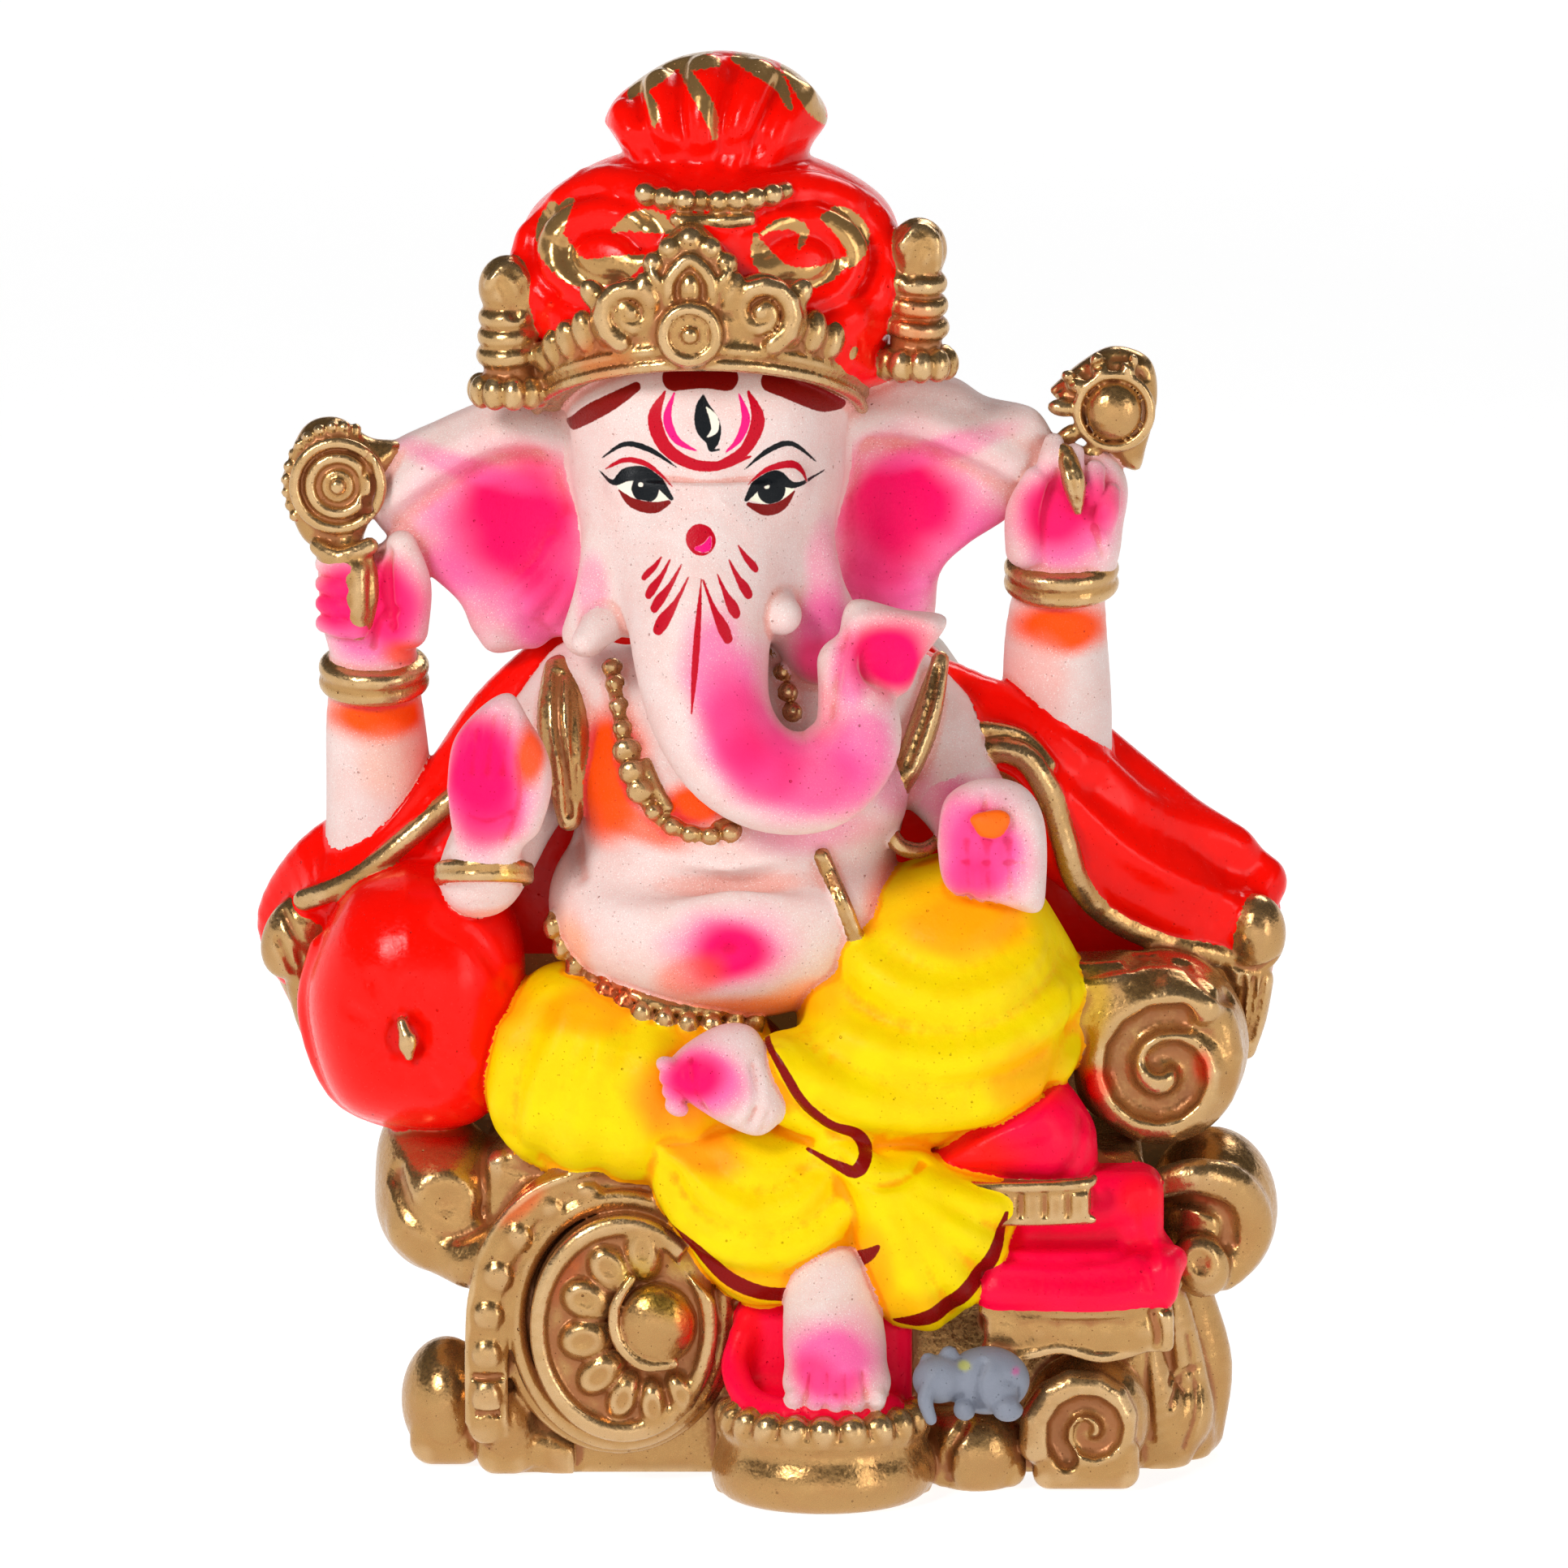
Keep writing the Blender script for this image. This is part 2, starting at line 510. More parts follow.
feet = Clay("foot_lobes_left", (-67, -24, 0), (-38, 16, 24), GOLD)
feet.add(egg((-58.2, -4, 11), (8, 11, 11)) + block((-58, -4, 6), (6.6, 9, 5.8), 4), 3)
feet.add(egg((-47.6, -13, 9.6), (6, 8.6, 9.4)) + block((-47.6, -12.5, 5), (5, 7.4, 4.8), 3.4), 0.8)
feet.add(egg((-38.5, -12, 4), (7, 6.5, 5), 20), 3)
feet.groove([(-50.4, 15), (-46, 16.5), (-43, 13)], 1.0, 0.5, 0.8)

VOL = (54.6, 11.6)
volute = Clay("base_volute_right", (42, -38, 0), (68, -14, 25), GOLD)
volute.add(egg((54.8, -22, 11.8), (11.2, 10.5, 11.6)) + block((54.6, -22, 5), (9.4, 9.4, 4.8), 3), 3)
volute.add(tube(spiral(VOL, 9.2, 2.2, 200, -1.35, -30, 12), list(np.linspace(3.2, 1.6, 17)), 1), 1.2)
volute.groove([(p[0], p[2]) for p in spiral((VOL[0] + 0.6, VOL[1] - 0.6), 6.4, 1.4, 230, -1.2, 0, 12)],
              1.9, 2.4, 1.4, 0)

rock = Clay("rock_lobe_front", (24, -34, 0), (47, -12, 17), GOLD)
rock.add(egg((35.4, -24, 6.2), (8.8, 9, 8.4)) + block((35.5, -22, 3.6), (8.6, 8, 3.4), 3), 3)
rock.add(egg((28.8, -20, 7.6), (4.6, 7, 5.6), 20), 1.6)
rock.groove([(30.4, 2), (30.2, 7), (33, 12)], 1.1, 0.8, 0.8)

leaves = Clay("corner_leaves_right", (60, -20, 0), (80, 18, 44), GOLD)
leaves.add(tube([(68, -8, 4), (67, -12, 13), (65, -13.5, 22), (66.5, -13, 31)], [6.6, 4.6, 3.4, 2.4],
                flat=0.9))
leaves.add(tube([(72, -1, 4), (72, -6, 14), (70.4, -9, 25), (69, -11, 34)], [6.4, 5, 4, 2.6]), 0.8)
leaves.add(egg((72, -7, 8.6), (5.6, 6, 7.4), 15), 1)
leaves.add(tube([(75.4, 2, 4), (76.2, 1, 16), (73.6, 0, 28), (72, -3, 36)], [4.4, 5, 4.4, 3.4]), 1.2)
for path in ([(66.5, 6), (65.5, 16), (66, 28)], [(70, 16), (69.4, 26), (69.2, 33)],
             [(72.6, 4), (74.6, 12), (73, 24)],
             [(70, 12), (72, 17), (75, 18)]):
    leaves.groove(path, 0.8, 0.6, 0.6)

rear = Clay("rear_scroll_right", (64, -18, 26), (91, 20, 60), GOLD)
rear.add(egg((77.5, 3, 44), (11.6, 15, 14.4)))
rear.add(tube([(67, -11, 51), (74, -13, 53), (81, -10, 50), (84, -7, 42), (79, -9, 35), (73.6, -11, 36)],
              [2.6, 3.2, 3.8, 4, 3.4, 2.4]), 2)
rear.add(egg((75, -12.4, 37), (5.2, 4, 6), -20), 1)
rear.cut(egg((75, -17.6, 38.4), (2.8, 2.4, 3.4), -20), 1)
rear.groove([(66, 47), (73, 48.6), (79, 46), (80, 41)], 1.6, 1.3, 1.2)

arm_roll = Clay("arm_volute_right", (50, -25, 54), (86, 20, 95), GOLD)
AV = (68.4, 72.4)
arm_roll.add(egg((68, -1, 74.6), (15.6, 14.5, 16.6)) + block((66, 2, 75), (13, 14, 13.4), 7), 3)
arm_roll.add(slab(CIRCLE, (67.8, 0, 74.4), (29.6, 32), -15.2, 4, 4), 2)
arm_roll.add(tube(spiral(AV, 13.2, 3.6, 60, 1.35, -14.2, 14), list(np.linspace(3.7, 3.1, 19)), 1), 1.6)
arm_roll.add(egg((67.2, -15.4, 71.6), (4.4, 3.4, 4.6)), 1.4)
arm_roll.add(block((57, -8, 85), (7, 8.5, 6.4), 4), 4)
arm_roll.groove([(p[0], p[2]) for p in spiral(AV, 10.0, 2.6, 75, 1.1, 0, 14)], 2.3, 2.6, 2.0, 0)
arm_roll.groove([(54, 90), (62, 91), (72, 90), (80, 84)], 1.4, 0.9, 1.4)

# ---- forms: the cushions ----

seat = Clay("seat_cushion", (34, -36, 29), (73, -13, 60), PINK)
seat.add(block((53.4, -23, 38), (17.2, 10.6, 5.2), 3.4))
seat.add(block((54.6, -19.5, 48), (13.6, 7.2, 8), 4), 2.4)
seat.add(tube([(38, -32, 36), (54, -33.4, 35.6), (64, -32.4, 37), (69.8, -27, 41)], [2.4, 2.6, 2.6, 2.4]),
         2.5)
seat.groove([(40, 42.6), (52, 42), (63, 43.5)], 1.4, 0.7, 1.2)
seat.groove([(63, 50), (65, 44), (66, 38)], 1.4, 0.6, 1.4)
seat.ridge([(44, 48.6), (54, 48.6), (61, 50)], 2.0, 0.6, 2)

apron = Clay("seat_apron", (34, -36, 22), (72, -14, 35), GOLD)
apron.add(block((53.2, -25, 29.4), (16.6, 8.6, 3.8), 1.4))
apron.add(tube([(36.8, -32, 33), (54, -33.8, 33), (66, -31.6, 33.6), (70.4, -24, 36)],
               [1.2, 1.3, 1.3, 1.1]), 0.8)
for i in range(5):
    x = 40.4 + 5.9 * i
    apron.add(egg((x, -31.4, 29.4), (3.5, 2.7, 2.9)), 0.9)
apron.add(tube([(37, -31.8, 26.6), (43, -33.2, 25.2), (50, -33.2, 26.4), (57, -33.2, 24.8), (64, -32, 26.2),
                (69, -28, 28)], 0.95), 0.6)
apron.groove([(66, 33), (67, 29), (66.6, 25)], 0.9, 0.8, 0.6)

wedge = Clay("knee_cushion", (22, -33, 50), (59, -8, 75), PINK)
KNEE_CUSHION = [(-1, -0.62), (-0.5, 0.1), (0, 0.6), (0.4, 0.9), (0.62, 1), (0.86, 0.5), (1, -0.1),
                (0.9, -0.9),
                (0.1, -0.9)]
wedge.add(puff(KNEE_CUSHION, (40.5, -17, 62), (32, 18), 14, 9, power=2.6))
wedge.groove([(54, 67), (53, 60), (50, 56)], 1.2, 0.35, 1.4)
wedge.groove([(30, 58), (38, 62), (46, 64)], 1.4, 0.3, 1.6)

fringe = Clay("knee_cushion_fringe", (22, -37, 47), (58, -15, 58), GOLD)
fringe.add(block((40.6, -26, 52.4), (14.4, 7.6, 2.9), 1))
fringe.add(tube([(26.4, -31, 55), (38, -33.6, 55.2), (53, -33.2, 55.6), (55.6, -30, 56)],
                [0.9, 1.0, 1.0, 0.9]), 0.5)
for i in range(7):
    fringe.add(block((28.6 + 4.1 * i, -33.2, 52), (1.55, 1.2, 2.5), 0.7), 0.3)
fringe.add(tube([(32, -32.6, 49.2), (44, -33.6, 49.2), (55.4, -33, 49.4)], 0.8), 0.5)

bolster = Clay("bolster_cushion", (-84, -26, 58), (-42, 22, 109), RED)
BOLSTER = [(-0.1, 1), (-0.6, 0.8), (-0.94, 0.3), (-1, -0.2), (-0.75, -0.8), (-0.2, -1), (0.5, -0.98),
           (0.86, -0.62),
           (0.98, 0), (0.9, 0.55), (0.5, 0.9)]
bolster.add(puff(BOLSTER, (-62.9, -2, 84), (38.5, 47), 22, 20, power=2.3))
bolster.add(tube([(-80, -4, 92), (-82, 0, 80), (-77, -2, 67), (-66, -4, 61.5)], [2, 2.4, 2.4, 2]), 2.5)
BUTTON = (-64.6, 79.5)
bolster.cut(egg((BUTTON[0], -25, BUTTON[1]), (4.4, 3.4, 5.4)), 3)
for a in range(10, 370, 36):
    ca, sa = polar(a)
    reach = 9 + 3 * math.sin(a * 2.3)
    bolster.groove([(BUTTON[0] + 3 * ca, BUTTON[1] + 3 * sa), (BUTTON[0] + reach * ca,
                                                               BUTTON[1] + reach * sa)],
                   1.2, 0.35, 1.6)
bolster.groove([(-58, 100), (-52, 96), (-47, 88)], 1.6, 0.3, 2)

button = Clay("bolster_button", (-69, -28, 73), (-60, -17, 86), GOLD)
button.add(tube([(-65.2, -22.6, 82.4), (-64.4, -23.4, 79.6), (-64, -23.2, 76.6)], [1.0, 1.3, 0.9]), 0)
button.add(egg((-64.2, -23.6, 79), (1.7, 1.2, 2.2), 10), 0.4)

# ---- forms: the body ----

BELLY = (-8.4, -6.0, 101.0)
body = Clay("torso", (-44, -36, 76), (38, 22, 152), FLESH)
body.add(egg(BELLY, (31.4, 27, 20.6)))
body.add(egg((-6.2, -3.5, 115.5), (28.6, 20.6, 15)), 4)
body.add(egg((-6, -1, 128), (31, 19.6, 22)), 4)
body.add(egg((-22, -13, 123), (11, 8, 9)), 6)
body.add(egg((12, -14, 121), (11, 8, 9)), 6)
body.add(tube([(-33, 0, 138), (-40, -2, 129), (-45, -4, 120)], [9, 8.6, 8]), 4)
body.add(tube([(22, 0, 136), (28, -2, 130), (31, -5, 123)], [9, 8.6, 7.6]), 4)
body.cut(tube([(-32, -24, 110), (-22, -27, 108.6), (-8, -27, 107.6), (8, -26, 109.6), (20, -22, 112)],
              [2.6, 2.2, 1.6, 1.8, 2.4]), 6)
body.cut(egg((-7.9, -34.4, 97), (2.2, 2.8, 1.8)), 2.2)
body.groove([(-34.5, 128), (-35.5, 118), (-34, 108)], 1.6, 1.0, 2)

thigh = Clay("thigh_wrap_left", (-54, -35, 50), (6, 15, 93), YELLOW)
THIGH = [(-1, 0), (-0.9, 0.55), (-0.55, 1), (0, 0.85), (0.7, 0.6), (1, 0.1), (0.8, -0.6), (0.2, -1),
         (-0.5, -0.9),
         (-0.9, -0.5)]
thigh.add(puff(THIGH, (-24, -9, 71), (55, 38), 24, 22, power=2.2))
for path in ([(-40, 86), (-45, 74), (-47, 62)], [(-33, 84), (-38, 70), (-41, 57)],
             [(-26, 82), (-29, 68), (-31, 55)],
             [(-16, 80), (-18, 68), (-19, 58)], [(-6, 78), (-9, 69), (-10, 62)]):
    thigh.groove(path, 2.6, 0.55, 3)
thigh.ridge([(-47, 80), (-49, 70), (-46, 60), (-38, 54.5)], 2.4, 0.8, 3)

shin = Clay("shin_wrap_left", (-26, -41, 30), (24, -12, 68), YELLOW)
SHIN = [(-1, 0.9), (-0.9, 0.2), (-0.6, -0.5), (-0.2, -0.95), (0.25, -0.9), (0.7, -0.55), (1, 0.1),
        (0.95, 0.7), (0.5, 1),
        (-0.4, 1)]
shin.add(puff(SHIN, (-1, -20, 48.4), (45, 34), 17, 6, power=2.2))
for r, deep in ((9, 0.7), (16, 0.8), (23, 0.6)):
    shin.groove(arc((-3, 63.5), r * 1.05, r * 1.02, 208, 326, 10), 2.2, deep, 3.6)
for r in (12.4, 19.4):
    shin.ridge(arc((-3, 63.5), r * 1.05, r * 1.02, 214, 320, 10), 2.4, 0.6, 3.6, taper=True)
shin.ridge([(-19, 47), (-13.6, 42.6), (-7.7, 37), (1, 34.4), (9.7, 37), (16.4, 43)], 1.5, 0.5, 1.6)

knee = Clay("knee_wrap_right", (-6, -38, 56), (60, 12, 113), YELLOW)
KNEE = [(-0.85, -0.3), (-0.8, 0.3), (-0.5, 0.75), (0.05, 1), (0.5, 0.9), (0.78, 0.5), (0.96, 0),
        (0.85, -0.55),
        (0.4, -0.9), (-0.3, -0.95)]
knee.add(puff(KNEE, (28, -10, 85), (57, 50), 24, 20, power=2.2))
knee.add(tube([(30, -20, 76), (16, -25, 72.5), (4, -29, 74)], [15, 12.5, 9]), 5)
for r, a0, a1, deep in ((15, 205, 325, 0.5), (25, 205, 325, 0.8), (35, 214, 316, 0.8), (45, 232, 296, 0.5)):
    knee.groove(arc((30, 108), r * 1.05, r, a0, a1, 10), 2.6, deep, 5)
for r, a0, a1 in ((20, 210, 318), (30, 216, 312), (40, 226, 300)):
    knee.ridge(arc((30, 108), r * 1.05, r, a0, a1, 10), 2.8, 0.5, 5, taper=True)
knee.groove([(45, 66), (50, 74), (53, 86)], 2.0, 0.8, 2.4)
knee.ridge([(-2.6, 84), (1.4, 78), (5.4, 71), (10, 66.8), (14.6, 64.6), (16, 61.8), (14.2, 58.6)], 1.3,
           0.8, 1)

pleats = Clay("dhoti_pleats", (8, -43, 26), (46, -13, 66), YELLOW)
PLEATS = [(-0.9, 0.7), (-0.55, 1), (-0.1, 0.95), (0.3, 0.75), (0.95, 0.55), (1, 0.2), (0.8, -0.3),
          (0.5, -0.75), (0.1, -1),
          (-0.4, -0.9), (-0.7, -0.2)]
pleats.add(puff(PLEATS, (26, -26, 45.5), (33, 33), 13.6, 9, hub=(-0.1, 0), power=2.3))
for x, z in ((40.6, 47.5), (37, 39), (31, 32.6)):
    pleats.groove([(17.5, 58), (17.5 + (x - 17.5) * 0.5, 58 + (z - 58) * 0.46), (x, z)], 2.0, 0.9, 3)
for x, z in ((40.6, 52), (39, 43.4), (34.4, 35.6), (27.6, 31)):
    pleats.ridge([(18.5, 57), (18.5 + (x - 18.5) * 0.5, 57 + (z - 57) * 0.5), (x, z)], 2.2, 0.7, 3)
pleats.add(tube([(10, -31, 62), (15, -35, 59), (18, -36.4, 55)], [3, 3.4, 2.4]), 2.5)
pleats.groove([(11, 61), (15, 57.4), (21, 57), (27, 60)], 1.2, 0.8, 1)

lap = Clay("lap_foot", (-21, -44, 60), (5, -24, 86), FLESH)
LAP = [(-1, 0.2), (-0.6, 0.62), (0, 0.95), (0.5, 0.85), (0.8, 0.2), (1, -0.5), (0.6, -0.95), (0, -0.75),
       (-0.6, -0.35),
       (-0.95, -0.05)]
lap.add(puff(LAP, (-8.8, -34, 74.5), (21.5, 20.5), 7, 8, power=2.2))
for i in range(4):
    lap.add(egg((-18.6 + 0.5 * i, -36.2 + 0.3 * i, 77.4 - 2.5 * i), (2.2, 2.6, 1.5), 25), 0.6)
lap.groove([(-14.8, 79), (-14.2, 74), (-12, 69.4)], 0.9, 0.6, 0.9)
lap.groove([(-3.6, 78), (-2.8, 72), (-4, 67)], 1.0, 0.4, 1)
for i in range(3):
    lap.groove([(-7.4 + 2.6 * i, 68.6 - 1.2 * i), (-5.8 + 2.4 * i, 71.4 - 1.0 * i)], 0.6, 0.35, 0.5)
lap.cut(egg((-13, -42.2, 75), (1.6, 1.6, 1.0), -30), 0.6)

foot = Clay("standing_foot", (0, -47, 14), (22, -24, 46), FLESH)
foot.add(tube([(9.6, -30, 37), (10.4, -34, 28), (10.8, -37, 23)], [8, 9, 8.6]))
foot.add(egg((10.8, -38.6, 21.4), (9.2, 6.4, 5)), 2.5)
for i in range(5):
    x = 3.6 + 3.5 * i
    foot.add(egg((x, -42.6 + 0.22 * (i - 2) ** 2, 19.2 + 0.2 * abs(i - 2)), (1.9, 3.2, 2.2)), 0.5)
    foot.cut(egg((x, -46 + 0.22 * (i - 2) ** 2, 20.6), (0.9, 0.9, 0.8)), 0.3)
for i in range(4):
    foot.groove([(5.4 + 3.5 * i, 20.4), (5.8 + 3.2 * i, 24.6)], 0.6, 0.5, 0.5)

belt = Clay("waist_belt", (-42, -38, 74), (24, -8, 98), GOLD)


def waist(degrees):
    """A place in XZ on the line where the belly meets the wraps."""
    ca, sa = polar(degrees)
    return BELLY[0] + 30.6 * ca, BELLY[2] + 0.8 + 19.6 * sa


belt_path = body.on([waist(a) for a in range(190, 292, 6)], 0.3, 0, [thigh])
belt.add(tube([p + (0, 0, 1.8) for p in belt_path], 1.0, 1), 0.3)
for p in spaced(curve(belt_path, 6), 4.0):
    belt.add(egg(p - (0, 0.6, 0.6), (1.9, 1.9, 2.3)), 0.3)
for p in body.on([waist(a) for a in range(332, 360, 4)], 0.4, 0):
    belt.add(egg(p, 1.9), 0.4)

NECK = [(-28.5, 143), (-27.3, 137), (-25.8, 130), (-23.4, 123.5), (-19.6, 118.6), (-13.6, 116.2),
        (-7, 116.8)]
chain = Clay("necklace", (-34, -34, 106), (8, -8, 152), GOLD)
neck_path = body.on(NECK, 0.2, 6)
chain.add(tube(neck_path, 1.2, 1, flat=0.8), 0.3)
for p in spaced(neck_path, 3.3):
    big = 2.6 if abs(p[2] - 128) < 5 else 1.75
    chain.add(egg(p - (0, 0.7, 0), (big, 1.7, big * 0.9)), 0.25)
chain.add(tube(body.on([(-22.4, 128), (-20.6, 124), (-18.6, 120.6)], 0.4, 4), 0.9, 1), 0.4)
for p in body.on([(0.6 + 0.8 * i, 146 - 3.1 * i) for i in range(4)], 0.6, 0):
    chain.add(egg(p, 1.7), 0.4)
chain.add(tube(body.on([(-10, 117.6), (-4, 119.6), (0, 122)], 0.2, 4), 0.9, 1), 0.4)

thread = Clay("sacred_thread", (4, -36, 90), (20, -16, 116), GOLD)
THREAD = [(8, 112), (10, 107.6), (12, 103.2), (13.6, 98.8), (15.4, 94.6)]
thread.add(tube(body.on(THREAD, 0.5, 4), 1.45, 1))
thread.groove([(8.6, 111), (12.4, 102.6), (15.2, 95)], 0.5, 0.35, 0.3)

sash = Clay("shoulder_sashes", (-44, -26, 108), (36, 4, 152), GOLD)
SASH_L = [(-38, -5, 142), (-37.4, -10, 135), (-36.4, -13, 126), (-36, -13.4, 117)]
sash.add(tube(SASH_L, [2.6, 4.2, 4.0, 2.2], flat=0.8))
sash.groove([(-38, 142), (-38, 134), (-36.6, 126), (-36, 118)], 0.8, 0.9, 0.5)
sash.groove([(-35.4, 139), (-35.2, 130), (-34.8, 121)], 0.6, 0.5, 0.4)
sash.add(tube([(29, -6, 144), (27, -10, 136), (23.6, -13, 127), (20.4, -15, 121)], [1.6, 2.4, 2.6, 2]), 0)
sash.groove([(28.6, 143), (26.8, 136), (23.4, 127)], 0.6, 0.6, 0.3)
sash.add(tube([(19.5, -14.4, 117), (21.6, -14.8, 112.6), (25.6, -13.8, 111.4), (28.6, -12, 113)],
              [1.2, 1.5, 1.4, 1]), 0)

bless = Clay("blessing_arm", (-63, -33, 94), (-34, 8, 143), FLESH)
bless.add(tube([(-43, -2, 124), (-49.4, -9, 111), (-51.5, -17, 107.6), (-50.5, -22, 112)],
               [8.5, 8, 7.4, 6.4]))
PALM = [(-1, -0.1), (-0.86, 0.45), (-0.3, 0.85), (0.25, 1), (0.6, 0.72), (1, 0.25), (1, -0.2), (0.6, -0.7),
        (0.1, -1),
        (-0.75, -0.85)]
bless.add(puff(PALM, (-48.3, -25, 126), (17.6, 30.4), 5.4, 5.4, power=2.3), 1.5)
bless.cut(egg((-50, -32.2, 124), (5.6, 3.2, 9), -8), 2.5)
for x0, x1 in ((-52.6, -51.8), (-50, -48.8), (-47.4, -45.6)):
    bless.groove([(x0, 128), (x1, 138)], 0.9, 0.45, 1.0)
bless.ridge([(-42.6, 132), (-41, 126), (-42.4, 118)], 2.6, 1.0, 2.5)
bless.groove([(-45, 131), (-44.4, 124), (-46.6, 116)], 0.9, 0.6, 1)
bless.groove([(-55, 121), (-50, 119.4), (-46, 121)], 0.6, 0.35, 0.5)

rest = Clay("resting_arm", (14, -37, 98), (50, 10, 138), FLESH)
rest.add(tube([(25, 0, 129), (33, -7, 119), (37.5, -17, 113)], [8, 7.6, 6.6]))
HAND = [(-1, 0), (-0.85, 0.7), (-0.2, 1), (0.55, 0.9), (0.95, 0.4), (1, -0.5), (0.85, -1), (0.1, -0.85),
        (-0.8, -0.65)]
rest.add(puff(HAND, (37.8, -26, 114.5), (19, 23.4), 6.2, 7, power=2.5), 1.5)
for x0, x1 in ((33.2, 33.4), (36.8, 37), (40.6, 40.8)):
    rest.groove([(x0, 116), (x1, 110), (x1 + 0.3, 105.5)], 1.0, 0.5, 1.2)
rest.groove([(36.4, 121), (36.6, 124.6)], 0.6, 0.4, 0.5)
rest.ridge([(44.4, 121), (45.4, 114), (44.8, 107)], 2.0, 0.5, 2)
for x in (32.8, 36, 39.4, 42.4):
    rest.groove([(x - 1, 112.6), (x + 1, 112.4)], 0.5, 0.3, 0.4)

sweet = Clay("modak_sweet", (32, -38, 115), (42, -29, 125), "orange")
sweet.add(egg((37.5, -32.6, 119.4), (2.8, 1.6, 2.4)), 0)
sweet.add(egg((39.2, -32.6, 120.4), (1.7, 1.3, 1.5)), 0.8)
sweet.add(egg((35.6, -32.5, 120.2), (1.7, 1.1, 1.0)), 0.8)

RL = np.array((-70.2, 10.0, 106.0))
arm_l = Clay("raised_arm_left", (-84, -16, 96), (-57, 22, 171), FLESH)
arm_l.add(tube([RL - (0, 0, 6), RL + (0.2, -1, 12), RL + (-0.3, -4, 26), RL + (-0.4, -7, 36)],
               [9.4, 9.3, 8.6, 7]))
FIST = [(-1, 0.1), (-0.95, 0.6), (-0.4, 0.75), (0.1, 0.7), (0.5, 1), (0.85, 0.75), (1, 0.1), (0.8, -0.5),
        (0.55, -1),
        (-0.55, -1), (-0.9, -0.5)]
arm_l.add(puff(FIST, (-70.5, 2, 154), (19.4, 26), 7.6, 8, power=2.3), 2)
for i in range(4):
    arm_l.add(tube([(-79, -2.4, 160.4 - 3.5 * i), (-76, -5.6, 160.2 - 3.5 * i),
                    (-73, -5.8, 159.8 - 3.4 * i)],
                   [1.7, 1.9, 1.7]), 0.5)
arm_l.add(tube([(-64.4, -3.4, 149), (-63.6, -4.6, 157), (-65.4, -4.4, 164)], [3.6, 3.4, 2.7]), 1.5)
arm_l.groove([(-67, 150), (-68, 157), (-67.6, 163)], 1.0, 0.9, 1)
arm_l.groove([(-70.4, 146), (-69, 151), (-66, 153)], 0.8, 0.5, 0.8)

RR = np.array((49.6, 10.0, 120.0))
arm_r = Clay("raised_arm_right", (38, -16, 110), (64, 22, 187), FLESH)
arm_r.add(tube([RR - (0, 0, 8), RR + (0.2, -1, 12), RR + (0, -3, 27), RR + (1, -6, 39)],
               [9.8, 9.7, 8.9, 7.2]))
OPEN = [(-1, 0), (-0.85, 0.65), (-0.3, 1), (0.2, 0.85), (0.7, 0.75), (1, 0.35), (0.95, -0.2), (0.65, -1),
        (-0.75, -1)]
arm_r.add(puff(OPEN, (51.8, 2, 170), (20, 25), 7, 8, power=2.3), 2)
for i, (x, z) in enumerate(((48.2, 180.4), (51.8, 178.6), (55.4, 175.6), (58.2, 171.4))):
    arm_r.add(tube([(x - 0.5, -2, z - 5), (x, -4.8, z - 1.4), (x + 0.6, -3.4, z + 1.6)], [2.0, 2.2, 1.8]),
              0.6)
arm_r.add(tube([(43.6, -2.6, 163), (43.4, -5, 170), (45.6, -5.6, 176)], [3.2, 3.0, 2.2]), 1.2)
arm_r.cut(egg((51.4, -9.4, 168), (5.4, 4, 6), 10), 2.4)
arm_r.groove([(56, 167), (57.6, 162)], 0.8, 0.5, 0.8)

rings = Clay("bangles", (-84, -34, 98), (66, 12, 166), GOLD)
# each wrist: its centre, its radius, its tilt, the bangles' thickness and half their spacing
for c, wrist, tilt, thick, apart in (((-70.6, 3.4, 140), 7.3, 12, 1.75, 1.35),
                                     ((50.4, 4.4, 157.4), 7.7, 12, 1.75, 1.35),
                                     ((-50.8, -20.6, 108.6), 6.9, -14, 1.2, 0.8)):
    ca, sa = polar(tilt)
    n = np.array((0, -sa, ca))
    for h in (-apart, apart):
        rings.add(ring(c + n * h, wrist + 0.7, thick, n), 0.5)

axe = Clay("axe", (-89, -12, 146), (-64, 14, 190), GOLD)
AXE = [(-1, 0.1), (-0.6, 0.85), (0, 1), (0.6, 0.7), (1.15, 0.6), (0.85, 0.1), (0.6, -0.5), (0.2, -1),
       (-0.6, -0.8)]
axe.add(puff(AXE, (-76.8, 0, 174), (19.5, 24), 4.5, 9, power=2.2))
for r, t in ((7.6, 1.0), (4.9, 1.0), (2.2, 0.7)):
    axe.add(ring((-76.5, -4.5, 174.6), r, t), 0.6)
axe.add(egg((-76.5, -5.2, 174.6), (1.5, 1.2, 1.5)), 0.3)
axe.beads(arc((-76.6, 174.4), 9.0, 10.4, 60, 215, 10), 1.1, 1.0, 1.9, 0.3)
axe.add(tube([(-75.5, -1, 165), (-73.4, -5.6, 160), (-73, -6.6, 154), (-73, -5.6, 148.6)],
             [3.2, 2.2, 1.8, 1.2]), 0.8)
axe.add(tube([(-80, -3, 163.6), (-76, -5.4, 162), (-71, -5.2, 164)], [1.6, 1.9, 1.6]), 0.5)
axe.add(tube([(-71.4, -4.4, 162.6), (-70.8, -5.6, 156), (-71.6, -5.6, 150)], [1.1, 1.2, 0.8]), 0.4)
axe.groove([(-70.6, 180), (-72, 174), (-70.6, 169)], 0.8, 0.6, 0.6)

